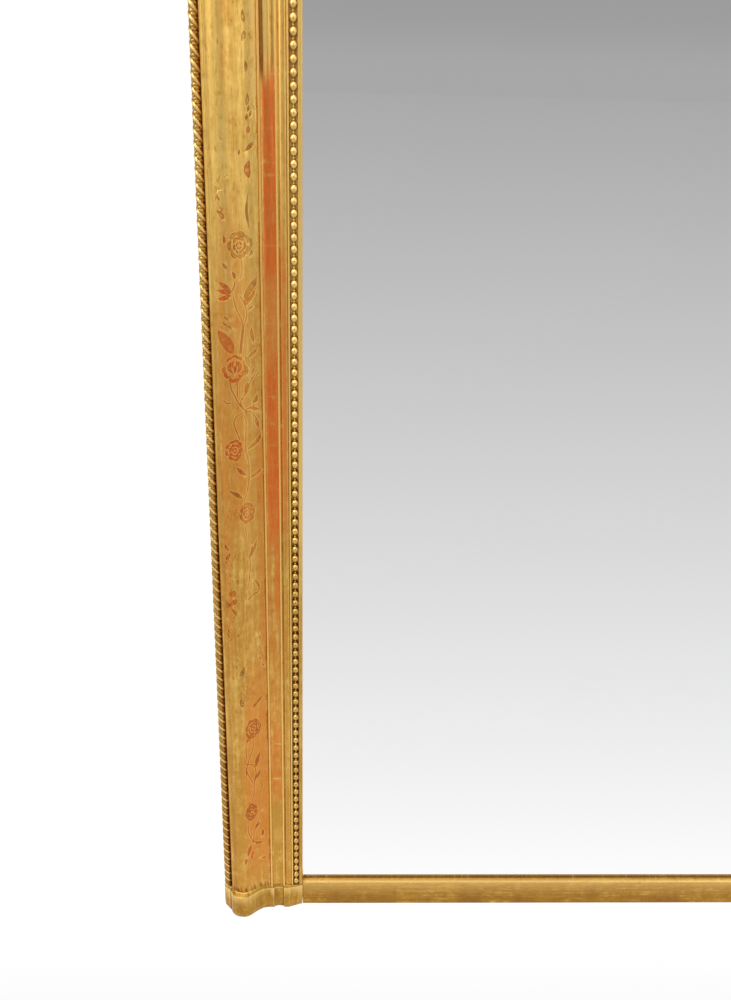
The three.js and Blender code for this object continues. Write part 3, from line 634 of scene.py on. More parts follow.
def bud(base, tip, width=4.0, stain=0.6):
    """A closed bud: one scooped cut between two thin sepals."""
    leaf(base, tip, width, 0, stain, 0.3)
    middle, run_on = (np.array(base) + np.array(tip)) / 2, np.array(tip, float) - base
    side = np.array([-run_on[1], run_on[0]]) / np.linalg.norm(run_on)
    for bow in (-0.75, 0.75):
        stem(base, middle + bow * width * side, tip, width=0.9)


# %% [markdown]
# ## The drawing of the vine
# The photograph shows about 1.07 m of the vine, from 90 to 1160 mm up the stile. The drawing follows it
# flower by flower, except a small flower at 1014 mm, which is left out. Where the photograph stops, the
# same length is drawn again, up over the shoulder and along the top to the centre, as a gilder repeats a
# pricked pattern.

# %% Lower part of the vine
def vine():
    """The lower half of the drawing, from the foot to the long stem. Points are (run, arc)."""
    # the foot: crossing stem, small red flower and its fork
    leaf((126, 13), (105, 7), 5, 0.6, 1.0)
    leaf((113, 16), (98, 13), 4.5, 0.6, 1.0)
    leaf((104, 5), (92, 3), 4, -0.5, 0.9)
    stem((128, 17), (124, 26), (123, 35), stain=0.9)
    leaf((124, 20), (121, 29), 4, 0, 0.8, 0)
    leaf((133, 30), (146, 31), 3.5, 0.4, 0.5)
    leaf((93, 28), (95, 36), 3, 0, 0.2)
    stem((164, 9), (150, 9), (137, 13), (126, 17))
    stem((126, 17), (145, 18), (160, 24), (175, 31))
    leaf((150, 20), (160, 27), 3.4, 0.4, 0.3)
    rose(181, 15, 31, 0.65, 0, 0.65)
    stem((240, 22), (227, 20), (210, 19), (196, 15))
    # the loop and its leaves
    stem((265, 6), (262, 14), (255, 21), (240, 23), (228, 20))
    stem((258, 8), (246, 11), (234, 16), (226, 20))
    leaf((254, 23), (277, 30), 5.5, -1.2, 0.6)
    leaf((235, 24), (247, 30), 4, -0.6, 0.4)
    stem((226, 27), (222, 31), (216, 30), (217, 26), stain=0.2)
    stem((299, 20), (285, 19), (270, 13), (255, 9), (240, 8))
    stem((296, 9), (284, 9), (271, 10))
    rose(317, 20, 32, 0.65, 25, 0.75)
    leaf((299, 10), (308, 16), 5, 0.6, 0.9)
    leaf((349, 20), (366, 35), 4, 0.5, 0.6)
    # the faint flower, rubbed nearly flat
    rose(384, 10, 44, 0.1, 10, 0.42, 0.3)
    leaf((403, 4), (416, 10), 6, 1, 0.1)
    leaf((356, 6), (367, 3), 6, 1, 0.1)
    for run in (456, 441, 425):
        leaf((run, 31), (run - 7, 33), 2.6, 0, 0.2, 0)
    leaf((414, 34), (410, 37), 2.6, 0, 0.8, 0)
    # fork of narrow leaves over a long stem
    leaf((518, -4), (526, 1), 7, 0.8, 1.0, 0)
    leaf((506, -5), (514, 3), 7, 0.8, 1.0, 0)
    leaf((492, 2), (501, -4), 5, 0.5, 0.7, 0)
    leaf((508, 17), (518, 35), 4.5, -2, 0.3)
    leaf((535, 27), (521, 33), 4, -1.5, 0.3)
    stem((570, 21), (556, 22), (536, 20), (520, 16))
    leaf((566, 20), (582, 25), 3.6, 2, 0.7)
    leaf((566, 22), (589, 31), 4, 1, 0.7)
    leaf((587, -9), (579, -4), 4, 0.6, 0.5)
    leaf((567, -9), (577, -3), 4, 0.6, 0.5)
    stem((614, 18), (604, 17), (596, 18))


# %% Upper part of the vine
def vine_above():
    """The upper half, from the second rose to the sparse leaves at the photograph's top edge."""
    rose(626, 20, 29, 0.6, 40, 0.75)
    carnation(631, 2, 14, 0.5)
    leaf((646, 13), (657, -3), 5.5, 0.8, 0.35)
    stem((702, 20), (689, 23), (667, 23), (652, 20), (642, 16))
    leaf((674, 19), (686, 7), 5, -0.8, 0.4)
    leaf((669, 25), (680, 39), 4.5, 1.0, 0.6)
    carnation(706, 6, 27, 1.0, 15)
    leaf((704, 22), (724, 39), 5, 3, 0.35)
    stem((746, 19), (737, 21), (714, 20), (700, 20))
    stem((750, 19), (746, 9), (738, 6), (728, 9), (717, 13))
    # the side flower, hanging from two stalks
    stem((752, 19), (754, 26), (757, 33))
    stem((750, 19), (749, 27), (741, 33))
    leaf((758, 31), (768, 35), 4, 0.5, 0.5)
    leaf((754, 28), (751, 37), 5, 0.5, 0.9)
    leaf((742, 33), (729, 36), 4, 0.5, 0.8)
    stem((772, 7), (762, 12), (752, 19))
    stem((768, 17), (761, 15), (752, 19))
    stem((766, -5), (762, -1), (763, 4), stain=0.3)
    stem((787, 3), (779, 4), (770, 8))
    stem((787, 11), (779, 11), (768, 11))
    stem((793, 33), (785, 28), (773, 22), (764, 17))
    bud((770, 22), (784, 24), 4.5)
    leaf((792, 29), (800, 32), 3, 0.3, 0.6)
    leaf((790, 34), (795, 38), 2.6, 0, 0.5, 0)
    leaf((757, 30), (770, 35), 4, 0.5, 0.3)
    # the great rose
    cup(802, 9, 32)
    leaf((813, 23), (801, 26), 5, -0.8, 0.15, 0)
    leaf((799, 25), (792, 22), 4, 0, 0.2, 0)
    leaf((811, 25), (822, 37), 4.5, 0.3, 0.4)
    leaf((819, 6), (844, -8), 13, 1.2, 0.8, vein=0.9, cut_shade=0.5)
    leaf((829, 32), (846, 30), 4, -0.8, 0.6)
    leaf((830, 36), (833, 38), 2.4, 0, 0.6, 0)
    for run, arc in ((849, 1), (855, 3), (846, 6)):
        leaf((run, arc), (run + 5, arc - 5), 3, 0, 0.25, 0)
    stem((883, 9), (869, 12), (858, 17), (849, 20), (836, 18), (816, 15))
    stem((881, 17), (871, 23), (859, 25), (849, 22))
    stem((849, 21), (838, 20), (817, 17))
    leaf((870, 23), (886, 26), 4, 1.0, 0.5)
    leaf((869, 24), (888, 36), 5, 0.8, 0.5)
    leaf((864, 26), (870, 34), 3.4, 0.5, 0.5)
    # the trumpet flower on the outer side
    leaf((886, 6), (896, -7), 6, 1, 1.0, 0)
    leaf((884, 7), (887, -9), 6, 0, 1.0, 0)
    leaf((882, 6), (877, -8), 6, -1, 1.0, 0)
    stem((884, 5), (889, 10), (896, 12))
    leaf((877, 23), (900, 37), 8, 0.8, 0.5)
    leaf((899, 12), (907, 9), 4, 0.5, 0.3)
    leaf((909, 3), (916, -2), 4, 0.5, 0.4)
    stem((918, 20), (907, 21), (898, 18))
    # the open flower, with little bole in it
    rose(933, 18, 31, 0.2, 12, 0.9)
    leaf((930, 32), (940, 32), 4, -0.6, 0.4, 0)
    leaf((921, 30), (928, 32), 4, 0.6, 0.4, 0)
    leaf((935, 1), (945, 0), 3.4, 1.2, 0.7, 0)
    leaf((948, 30), (988, 30), 3.4, -2.6, 0.25, 0)
    leaf((960, 2), (969, -5), 5, 0.6, 0.35)
    leaf((978, -2), (984, -5), 3, 0, 0.6, 0)
    # sparse leaves up the inner side
    leaf((1000, 31), (1018, 32), 7, -2.5, 0.8)
    leaf((1027, 29), (1035, 36), 5.5, 0.5, 0.5)
    leaf((1022, 20), (1028, 21), 3, 0.3, 0.2, 0)
    leaf((1042, 31), (1050, 31), 4.5, 0, 1.0, 0)
    for run, arc in ((1055, 29), (1058, 33), (1063, 31)):
        leaf((run, arc), (run + 6, arc + 1), 3.6, 0.3, 0.45, 0)
    leaf((1068, 30), (1081, 31), 4.6, 0.5, 0.2)
    leaf((1099, 30), (1111, 29), 3.8, 0.6, 0.15)
    leaf((1127, 27), (1136, 29), 5, 0.6, 0.2)
    leaf((1143, 29), (1155, 28), 4.4, -0.6, 0.15)
    leaf((1123, 1), (1129, 2), 2.6, 0, 0.3, 0)
    # small worn marks between the flowers on the outer side
    for count, low, high, side in ((30, 395, 612, 9), (14, 955, 1040, 5)):
        for _ in range(count):
            run, arc = chance.uniform(low, high), chance.uniform(-side, side)
            tip = (run + chance.uniform(-8, 8), arc + chance.uniform(-4, 4))
            leaf((run, arc), tip, 2.8, 0, 0.4, 0, cut_shade=0.45)


REPEAT = 1070.0
for lift in (0.0, REPEAT):
    drawn, clouded = len(strokes), len(blushes)
    vine()
    vine_above()
    for mark in strokes[drawn:]:
        mark["line"] = mark["line"] + (lift, 0.0)
    blushes[clouded:] = [(run + lift, *rest) for run, *rest in blushes[clouded:]]
JOINTS = (SPRINGING, SPRINGING + TURN_LENGTH, MIDDLE)


def clear_of(joint, s):
    """Whether a stroke keeps off a joint: gesso cracks there, so the carver leaves it plain."""
    margin = s["half"].max() + 2
    return s["line"][:, 0].max() + margin < joint or s["line"][:, 0].min() - margin > joint


strokes = [s for s in strokes if all(clear_of(joint, s) for joint in JOINTS)]
cutting = sum(arc_along(s["line"])[-1] for s in strokes) / 1000
print(f"{len(strokes)} strokes, {cutting:.2f} m of cutting")

# %% [markdown]
# ## How deep the gesso is cut
# A point's depth is that of the deepest stroke over it. With s the distance in from a stroke's rim over the
# width of its wall, held between 0 and 1, the cut goes down as s^2 (3 - 2 s), less a ridge along its middle
# where a vein stands. The strokes are taken in short windows of the run, so the arrays stay small.

# %% Depth of the cut
def stroke_segments():
    """All strokes as one table of segments: both ends, half widths there, depth, vein, stain and share of
    painted shade.
    """
    rows = []
    for s in strokes:
        line, half = s["line"], s["half"]
        fixed = np.broadcast_to([s[key] for key in ("depth", "vein", "stain", "cut_shade")], (len(line) - 1, 4))
        rows.append(np.column_stack([line[:-1], line[1:], half[:-1], half[1:], fixed]))
    table = np.vstack(rows)
    mirrored = table.copy()
    mirrored[:, [0, 2]] = 2 * MIDDLE - table[:, [0, 2]]
    return np.vstack([table[table[:, 0] < MIDDLE], mirrored[mirrored[:, 0] > MIDDLE]])


segments = stroke_segments()
WALL_SLOPE = 0.9  # width over which a cut's wall goes down
LIP_PLACE, LIP_HEIGHT = 0.45, 0.06
WINDOW, REACH = 12.0, 9.0  # length of run taken at a time, and how far beyond it a stroke still counts


def cut_at(run, arc):
    """At points of the face: depth (mm), share of full depth, stain, the painted shade along the wall of a
    cut (over the whole of a thin scratch, where clay shows too), the lip thrown up beside it, which also gets
    a painted highlight, and how fast the depth grows along the run and across: the slope of the
    wall, depth * 6 s (1 - s) / wall width, times the direction towards the centre line."""
    deep, share, stain, line, lip, steep_run, steep_arc = (np.zeros(len(run)) for _ in range(7))
    first, last = segments[:, [0, 2]].min(1), segments[:, [0, 2]].max(1)
    for start in np.arange(run.min(), run.max() + WINDOW, WINDOW):
        here = np.flatnonzero((run >= start) & (run < start + WINDOW))
        near = segments[(last > start - REACH) & (first < start + WINDOW + REACH)]
        if not len(here) or not len(near):
            continue
        p = np.stack([run[here], arc[here]], -1)[:, None]
        a, b = near[None, :, 0:2], near[None, :, 2:4]
        t = np.clip(((p - a) * (b - a)).sum(-1) / (((b - a) ** 2).sum(-1) + 1e-9), 0, 1)
        half = near[None, :, 4] * (1 - t) + near[None, :, 5] * t
        aside = p - a - (b - a) * t[..., None]
        away = np.sqrt((aside**2).sum(-1))
        slope = np.clip((half - away) / np.minimum(WALL_SLOPE, half), 0, 1)
        floor = slope * slope * (3 - 2 * slope)
        ridge = near[None, :, 7] * np.clip(1.3 - away / 0.6, 0, 1) * (half > 1.4)
        depth = near[None, :, 6] * np.minimum(1, half / 0.9) ** 0.3 * floor * (1 - ridge)
        best = depth.argmax(1)
        row = np.arange(len(here))
        steepness = near[None, :, 6] * 6 * slope * (1 - slope) / np.minimum(WALL_SLOPE, half)
        steep = -(steepness / (away + 1e-6))[row, best]
        steep_run[here], steep_arc[here] = steep * aside[row, best, 0], steep * aside[row, best, 1]
        beside = (1 - np.abs((away - half).min(1) - LIP_PLACE) / LIP_PLACE).clip(0, 1)
        lip[here] = beside * (away > half).all(1) * near[(away - half).argmin(1), 9]
        deep[here] = depth[row, best] - LIP_HEIGHT * lip[here]
        share[here], stain[here] = (floor * (1 - 0.6 * ridge))[row, best], near[best, 8]
        # Painted shade: a dark line down the wall of a wide cut, and over the whole of a thin scratch.
        line[here] = (np.where(half < 1.15, floor, 4 * slope * (1 - slope)) * near[None, :, 9]).max(1)
    return deep, share, stain, line, lip, steep_run, steep_arc


deepest = cut_at(np.linspace(790, 815, 400), np.full(400, 9.0))[0].max()
print(f"{len(segments)} segments; deepest at the great rose: {deepest:.2f} mm")

# %% [markdown]
# ## Rubbed places
# A century of dusting has thinned the gold most along the ogee's outer half in the middle of the stile and
# on its inner half near the foot, and the hollow shows long stretches of bare clay. These are smooth
# patches with soft ends; the noise in the finish breaks them up.

# %% Rubbed patches
def patch(value, start, end, fade):
    """1 between start and end, falling smoothly to 0 over `fade` on both sides."""
    rise = np.clip((value - start + fade) / fade, 0, 1)
    fall = np.clip((end + fade - value) / fade, 0, 1)
    return (rise * rise * (3 - 2 * rise)) * (fall * fall * (3 - 2 * fall))


def folded(run):
    """A run on the right half of the top, brought back to the left half that it mirrors."""
    return np.where(run > MIDDLE, 2 * MIDDLE - run, run)


SEEN = 1160.0  # height up to which the photograph shows the stile


def mirrored_wear(run):
    """The photographed length of wear, mirrored once more above it so that it never jumps."""
    low = folded(run)
    return np.where(low > SEEN, 2 * SEEN - low, low)


def face_bole(run, arc):
    """Share of clay showing on the ogee's broad face."""
    low = mirrored_wear(run)
    outer = 0.42 * patch(low + 180 * np.clip(-arc / 6, 0, 1), 660, 1000, 110) * patch(low, 400, 900, 110)
    outer = outer * patch(arc, -20, 17, 16)
    outer = outer * np.clip((arc - OUTER_ARC) / 4, 0, 1)
    rim = 0.45 * patch(low, 400, 690, 60) * patch(arc, 33, 45, 4)
    rim = rim + 0.2 * patch(low, 660, 860, 60) * patch(arc, 22, 45, 8)
    inner = 0.6 * patch(low, 150, 330, 130) * patch(arc - np.interp(low, [290, 430], [0, 9]), 12, 38, 12)
    pink = 0.24 * (patch(low, 1098, 1122, 14) + patch(low, 1150, 1175, 12)) * patch(arc, 6, 14, 5)
    return 0.03 + 0.1 * np.clip((1020 - low) / 150, 0, 1) + np.maximum.reduce([outer, inner, rim, pink])


def face_shine(run, arc):
    """Painted light on the broad face: painted highlights along both arrises, two highlight streaks about
    1160 mm up and a pale band on the inner half, and painted shade on the steep outer side, more of it lower
    down.
    """
    arrises = 0.35 * patch(arc, OUTER_ARC, OUTER_ARC + 0.4, 1.5)
    arrises = arrises + 0.3 * patch(arc, TOE_ARC - 1.0, TOE_ARC, 1.0)
    streaks = 0.4 * patch(arc, -8.2, -6.8, 2.0) + 2.2 * patch(arc, 35.0, 38.5, 1.6)
    # Painted shade on the steep outer side, more of it lower down.
    dull = (0.26 + 0.14 * np.clip((1020 - folded(run)) / 300, 0, 1)) * patch(arc, OUTER_ARC + 0.8, -9.5, 2.5)
    low = mirrored_wear(run)
    pale = 0.25 * patch(arc, 18, 30, 7) * patch(low, 440, 900, 80)
    return arrises - dull + pale + 0.3 * streaks * patch(low, 1080, 1180, 50)


def face_dirt_and_shade(run):
    """How far the gold is browned, partly by dirt and partly as painted shade: least about 1090 mm up, a
    little more above, much more below.
    """
    high = folded(run)
    browned = 0.2 * np.clip((high - 1085) / 50, 0, 1) + 0.65 * np.clip((1100 - high) / 450, 0, 1)
    return 0.05 + browned + 0.35 * np.clip((320 - high) / 250, 0, 1)


def hollow_bole(run):
    """Share of clay showing in the hollow of the inner moulding."""
    low = mirrored_wear(run)
    upper = patch(low, 610, 1075, 60) * (1 - 0.35 * patch(low, 815, 885, 25))
    lower = 0.55 * patch(low, 215, 300, 40)
    return np.maximum(np.maximum(upper, lower), 0.3 * patch(low, 340, 560, 80))


print("clay in the hollow at 200, 500 and 1000 mm:", hollow_bole(np.array([200.0, 500.0, 1000.0])).round(2))

# %% [markdown]
# ## The ogee as one skin
# A regular grid fine enough for 0.8 mm scratches would need millions of points. A constrained triangulation
# puts points only where a stroke is: just outside both rims, along them, down both walls and on the centre
# line. The rest of the face keeps a coarse grid that follows the curve. The depth, and the exact normal,
# are then worked out for every point at once, and the sides and the back are welded on.

# %% Ogee pieces
FACE_COLUMNS = np.linspace(OUTER_ARC, TOE_ARC, 30)


def stroke_points(low, high):
    """Points and edges along the rims, flanks and centre lines of the strokes between two runs."""
    points, edges = [], []
    count = 0
    for s in strokes:
        for flip in (False, True):
            line = s["line"].copy()
            if flip:
                line[:, 0] = 2 * MIDDLE - line[:, 0]
            beyond = line[:, 0].min() < MIDDLE + 1 if flip else line[:, 0].max() > MIDDLE - 1
            margin = s["half"].max() + 1.5
            if beyond or line[:, 0].min() < low + margin or line[:, 0].max() > high - margin:
                continue
            tangent = np.gradient(line, axis=0)
            tangent /= np.linalg.norm(tangent, axis=1)[:, None] + 1e-9
            side = np.stack([-tangent[:, 1], tangent[:, 0]], -1)
            half = s["half"]
            inner = np.maximum(half - WALL_SLOPE / 2, 0.4 * half)
            flanks = (half, inner, np.maximum(half - WALL_SLOPE, 0.2 * half)) if half.max() > 1.1 else (half,)
            beside = (half + LIP_PLACE, -half - LIP_PLACE, half + 2 * LIP_PLACE, -half - 2 * LIP_PLACE)
            for offset in (0 * half, *flanks, *(-flank for flank in flanks), *beside):
                row = line + side * offset[:, None]
                row[:, 1] = np.clip(row[:, 1], OUTER_ARC + 1.2, TOE_ARC - 1.2)
                points.append(row)
                steps = np.arange(len(row) - 1) + count
                edges.append(np.stack([steps, steps + 1], -1))
                count += len(row)
    if not points:
        return np.zeros((0, 2)), np.zeros((0, 2), int)
    return np.vstack(points), np.vstack(edges)


def blush_points(low, high):
    """A finer grid inside each red cloud, so that its soft edge has points to lie on."""
    steps = np.linspace(-1.1, 1.1, 11)
    offsets = np.stack(np.meshgrid(steps, steps), -1).reshape(-1, 2)
    grids = [(run, arc) + offsets * (radius, radius * squeeze) for run, arc, radius, squeeze, _ in blushes]
    points = np.vstack(grids)
    points = np.vstack([points, points * (-1, 1) + (2 * MIDDLE, 0)])
    run, arc = points.T
    inside = (run > low + 1) & (run < high - 1) & (arc > OUTER_ARC + 1) & (arc < TOE_ARC - 1)
    return points[inside]


def blush_at(run, arc):
    """Share of clay given by the red clouds: share * (1 - d^2) with d the distance over the radius."""
    most = np.zeros(len(run))
    for centre, middle, radius, squeeze, share in blushes:
        d2 = ((folded(run) - centre) / radius) ** 2 + ((arc - middle) / radius / squeeze) ** 2
        most = np.maximum(most, share * np.clip(1.15 - d2, 0, 1) ** 0.7)
    return most


def ogee_piece(name, ends, spacing, nodes, mirror=False):
    """The face by constrained triangulation of rim, grid and stroke points, and the rest by a sweep."""
    rows = runs_between(ends, spacing)
    grid = np.stack(np.meshgrid(rows, FACE_COLUMNS, indexing="ij"), -1).reshape(-1, 2)
    marks, edges = stroke_points(*ends)
    flat = np.vstack([grid, marks, blush_points(*ends)])
    made, _, triangles, *_ = delaunay_2d_cdt(flat.tolist(), (edges + len(grid)).tolist(), [], 0, 1e-5, False)
    run, arc = np.array([tuple(p) for p in made]).T
    on_side = (arc < OUTER_ARC + 0.01) | (arc > TOE_ARC - 0.01)
    on_rim = on_side | (run < ends[0] + 0.01) | (run > ends[1] - 0.01)
    deep, share, stain, line, lip, steep_run, steep_arc = cut_at(run, arc)
    deep[on_rim] = share[on_rim] = lip[on_rim] = line[on_rim] = 0
    blush = blush_at(run, arc)
    facing = face_normal(run, arc, steep_run, steep_arc)
    facing[on_side] = 0
    face_values = {
        "run": run,
        "across": arc,
        "bole": np.maximum(face_bole(run, arc), 0.7 * blush),
        # Painted light on the face: a painted highlight on the lip beside each cut, and painted shade along
        # the walls of cuts and over thin scratches, where clay also shows.
        "edge": face_shine(run, arc) + 1.1 * lip * (1 - line) - line,
        "dirt_and_shade": face_dirt_and_shade(run),
        "cut": np.maximum(share, 0.25 * blush),
        "stain": np.where(0.25 * blush > share, 1.0, stain),
    }
    rest_points = place(rows[:, None], ogee_rest[None, :, 0], ogee_rest[None, :, 1]).reshape(-1, 3)
    count = len(ogee_rest)
    start = len(run)
    quads = ring_quads(len(rows), count)
    rest_faces = [[start + i for i in quad] for quad in quads if quad[0] % count != count - 1]
    face_end = [np.interp(FACE_COLUMNS[1:-1], face_arc, face_line[:, k]) for k in (0, 1)]
    whole_end = np.vstack([ogee_rest, np.stack(face_end, -1)])
    caps = [place(r, whole_end[:, 0], whole_end[:, 1]) for r in ends]
    rest_side = np.where(ogee_rest[:, 0] < CROWN_U, OUTER_ARC, TOE_ARC)
    extra_run = np.concatenate([np.repeat(rows, count), np.repeat(ends, len(whole_end))])
    end_arc = np.concatenate([rest_side, FACE_COLUMNS[1:-1]])
    extra_arc = np.concatenate([np.tile(rest_side, len(rows)), np.tile(end_arc, 2)])
    cap_start = start + len(rest_points)
    corners = len(whole_end)
    cap_faces = [list(range(cap_start + k * corners, cap_start + (k + 1) * corners)) for k in (0, 1)]
    points = np.vstack([on_face(run, arc, deep), rest_points, *caps])
    extra = len(points) - len(run)
    rest_arc = np.tile(arc_along(ogee_rest), len(rows))
    values = {k: np.concatenate([v, np.zeros(extra)]) for k, v in face_values.items()}
    welded = slice(len(run), None)
    values["run"][welded], values["across"][welded] = extra_run, extra_arc
    values["across"][len(run) : cap_start] = TOE_ARC + rest_arc
    values["bole"][welded] = face_bole(extra_run, extra_arc)
    values["edge"][welded] = face_shine(extra_run, extra_arc)
    values["dirt_and_shade"][welded] = face_dirt_and_shade(extra_run)
    piece = solid_piece(
        name,
        points,
        [list(t) for t in triangles] + rest_faces + cap_faces,
        values,
        np.vstack([facing, np.zeros((extra, 3))]),
        mirror,
    )
    return finish_piece(piece, face_gold, "gilt_moulding", nodes)


five_lengths(ogee_piece, "ogee", "ogee_moulding", 12.0, 5.0)

# %% [markdown]
# ## The inner moulding
# Between the ogee and the glass lie, in order, a fillet, the red hollow, a thin bright ridge, a dark quirk,
# a small round, a lip, the bead channel and the sight edge. A maker runs them in one length with a scraper
# cut to this section. Gesso softens every corner, so the drawn section is eased before it is carried along
# the run.

# %% Inner moulding section
INNER_START = OGEE_TOE + SEAM
LIP_START, LIP_BACK = 96.3, GLASS_FRONT + SEAM
CHANNEL = (97.0, SIGHT_EDGE - 4.0)


def on_inner(u, rise):
    """A section point `u` inwards of where the inner moulding starts and `rise` in front of the rail."""
    return (INNER_START + u, RAIL_FRONT + rise)


inner_section = outline(
    (INNER_START, MOULDING_BACK),
    [on_inner(0, 8.3)],
    [on_inner(2.4, 8.3)],
    [on_inner(2.4, 6.7)],
    [on_inner(4.8, 4.2), on_inner(8.4, 4.0), on_inner(11.7, 4.0)],
    [on_inner(17.4, 4.5)],
    [on_inner(17.4, 7.8)],
    [on_inner(19.3, 7.8)],
    [on_inner(19.3, 5.2)],
    [on_inner(20.9, 5.2)],
    [on_inner(21.3, 6.9), on_inner(24.65, 6.9)],
    [on_inner(28.4, 6.7), on_inner(28.4, 5.2)],
    [on_inner(29.2, 5.2)],
    [on_inner(29.2, 6.6)],
    [(CHANNEL[0], RAIL_FRONT + 6.6)],
    [(CHANNEL[0], RAIL_FRONT + 0.4)],
    [(CHANNEL[1], RAIL_FRONT + 0.4)],
    [(CHANNEL[1], RAIL_FRONT + 5.8)],
    [(SIGHT_EDGE, RAIL_FRONT + 5.2)],
    [(SIGHT_EDGE, LIP_BACK)],
    [(LIP_START, LIP_BACK)],
    [(LIP_START, MOULDING_BACK)],
    steps=8,
)
inner_section = eased(inner_section, 0.45)
FRONT = MOULDING_BACK + 8  # what lies before this level is seen from the front
for across in (8.0, 10.2, 12.4, 14.4, 16.4):  # more points on the hollow's floor, for its streaks
    (u, v), mark = inner_section.T, INNER_START + across
    found = np.flatnonzero((u[:-1] < mark) & (u[1:] > mark) & (v[:-1] > FRONT))
    if len(found):
        k = found[0]
        t = (mark - u[k]) / (u[k + 1] - u[k])
        new_point = (1 - t) * inner_section[k] + t * inner_section[k + 1]
        inner_section = np.insert(inner_section, k + 1, new_point, 0)
inner_edges = convexity(inner_section)
inner_u, inner_v = inner_section.T
inner_side = inner_u - INNER_START
in_front, off_back, before_lip = inner_v > FRONT, inner_v > MOULDING_BACK + 2, inner_v > LIP_BACK + 1
in_hollow = patch(inner_u, INNER_START + 4.6, INNER_START + 16.8, 1.0) * off_back
in_channel = patch(inner_u, CHANNEL[0] + 0.4, CHANNEL[1] - 0.4, 0.4) * before_lip
in_round = patch(inner_u, INNER_START + 19.8, INNER_START + 27.0, 1.5) * off_back
# Masks for painted light on the inner moulding: less painted shade in the corners beside the beads, a painted
# highlight on the ridge, on the round's top and on the fillet, and a darker sight edge.
by_beads = np.interp(inner_u, [CHANNEL[0] - 1, CHANNEL[0], 102, 106], [0, 0.4, 0.8, 0.9])
on_ridge = patch(inner_side, 17.3, 19.4, 0.4) * in_front
on_sight = patch(inner_side, CHANNEL[1] - INNER_START, 45, 0.5) * before_lip
right_half = patch(inner_side, 11.5, 17, 2.5)
round_top = patch(inner_side, 20.4, 22.4, 0.8) * in_front
# Light and dark stripes painted along the hollow, as highlights and shade: gain, from, to and fade.
STRIPES = ((1.5, 7.2, 9.0, 0.8), (-1.1, 3.0, 5.8, 0.8), (0.9, 11.4, 12.2, 0.6), (-0.6, 13.2, 16.0, 0.8))
painted_stripes = sum(gain * patch(inner_side, start, end, fade) for gain, start, end, fade in STRIPES) * in_front
on_fillet = (inner_side < 3.2) * in_front
first_arris = np.where(inner_u < INNER_START + 3, 0.4, 1.0)
# Runs where one leaf overlaps the next, which shows as a bar across the clay. The first eight were read off
# the photograph, and above them they go on about 83 or 166 mm apart, one or two leaves.
HOLLOW_LAPS = np.array(
    [229.0, 286, 540, 623, 707, 789, 1003, 1017, 1184, 1268, 1352, 1435, 1518, 1602, 1768, 1934, 2101, 2267]
)
LAP_MIDDLE = 10.0 + chance.uniform(-4, 4, len(HOLLOW_LAPS))
LAP_REACH = chance.uniform(3, 8, len(HOLLOW_LAPS))
LAP_SHARE = chance.uniform(0.5, 1.0, len(HOLLOW_LAPS))
LAP_REACH[:2], LAP_SHARE[:2] = 9.0, 1.5
print(len(inner_section), "points in the inner moulding's section")


# %% Inner moulding pieces
def inner_piece(name, ends, spacing, node, mirror=False):
    """One length, with more runs at each overlap of leaf, and its numbers for clay and for painted highlights
    and shade.
    """
    beside = np.add.outer(HOLLOW_LAPS, [-2.4, -1.2, 0.0, 1.2, 2.4]).ravel()
    extra = np.concatenate([beside, 2 * MIDDLE - beside])
    runs = np.union1d(runs_between(ends, spacing), extra[(extra > ends[0] + 1) & (extra < ends[1] - 1)])
    low, wear = folded(runs)[:, None, None], mirrored_wear(runs)[:, None]
    sides = inner_side[None, :, None]
    lap = np.clip(1.4 - np.abs(low - HOLLOW_LAPS) / 1.3, 0, 1)
    lap = lap * np.clip(1.3 - np.abs(sides - LAP_MIDDLE) / LAP_REACH, 0, 1)
    lap = (lap * LAP_SHARE).max(2)
    bright = np.maximum(0.42 * lap, 0.35 * patch(low[..., 0], 120, 145, 12)) * in_hollow[None]
    # Painted light: light and dark stripes near the top, a painted highlight on the ridge and on the round's
    # top, and the sight edge darker towards the foot.
    bright = bright + painted_stripes[None] * patch(wear, 1108, 1180, 24)
    bright = bright + 1.3 * on_ridge[None] * patch(wear, 650, 1180, 50)
    bright = bright + 0.9 * round_top[None] * patch(wear, 1020, 1180, 30)
    bright = bright - on_sight[None] * np.clip((660 - low[..., 0]) / 300, 0, 1.1)
    clay = hollow_bole(runs)[:, None] * (1 - 0.5 * lap)
    clay = np.maximum(clay, 0.7 * right_half[None] * patch(wear, 490, 600, 45))
    # The clay in the left half of the bead channel is painted shade.
    bole = np.maximum(in_hollow[None] * clay, 0.3 * in_channel[None] * (inner_u[None] < 102))
    bole = np.maximum(bole, in_round[None] * np.maximum(0.6 * patch(wear, 640, 900, 80), 0.1))
    bole = np.maximum(bole, 0.3 * on_fillet[None])
    # Painted highlights on arrises and the fillet, and painted shade in corners, less beside the beads.
    corners = np.where(inner_edges > 0, inner_edges * first_arris, 0.45 * inner_edges * (1 - by_beads))
    edge = bright + corners[None] + 0.3 * on_fillet[None]
    points, faces, values = swept(inner_section, runs, bole, edge, face_dirt_and_shade(runs)[:, None])
    piece = solid_piece(name, points, faces, values, mirror=mirror)
    return finish_piece(piece, hollow_gold, "gilt_inner", node)


five_lengths(inner_piece, "inner", "inner_moulding", 16.0, 5.0)

# %% [markdown]
# ## The rope twist
# The rope is pressed composition: two plain strands alternate with two pearled ones, wound at about 26 mm a
# turn. One function of the angle and the run gives the radius: the phase of the winding picks the strand, a
# half ellipse rounds it, and the pearled strand swells and shrinks along its own length.

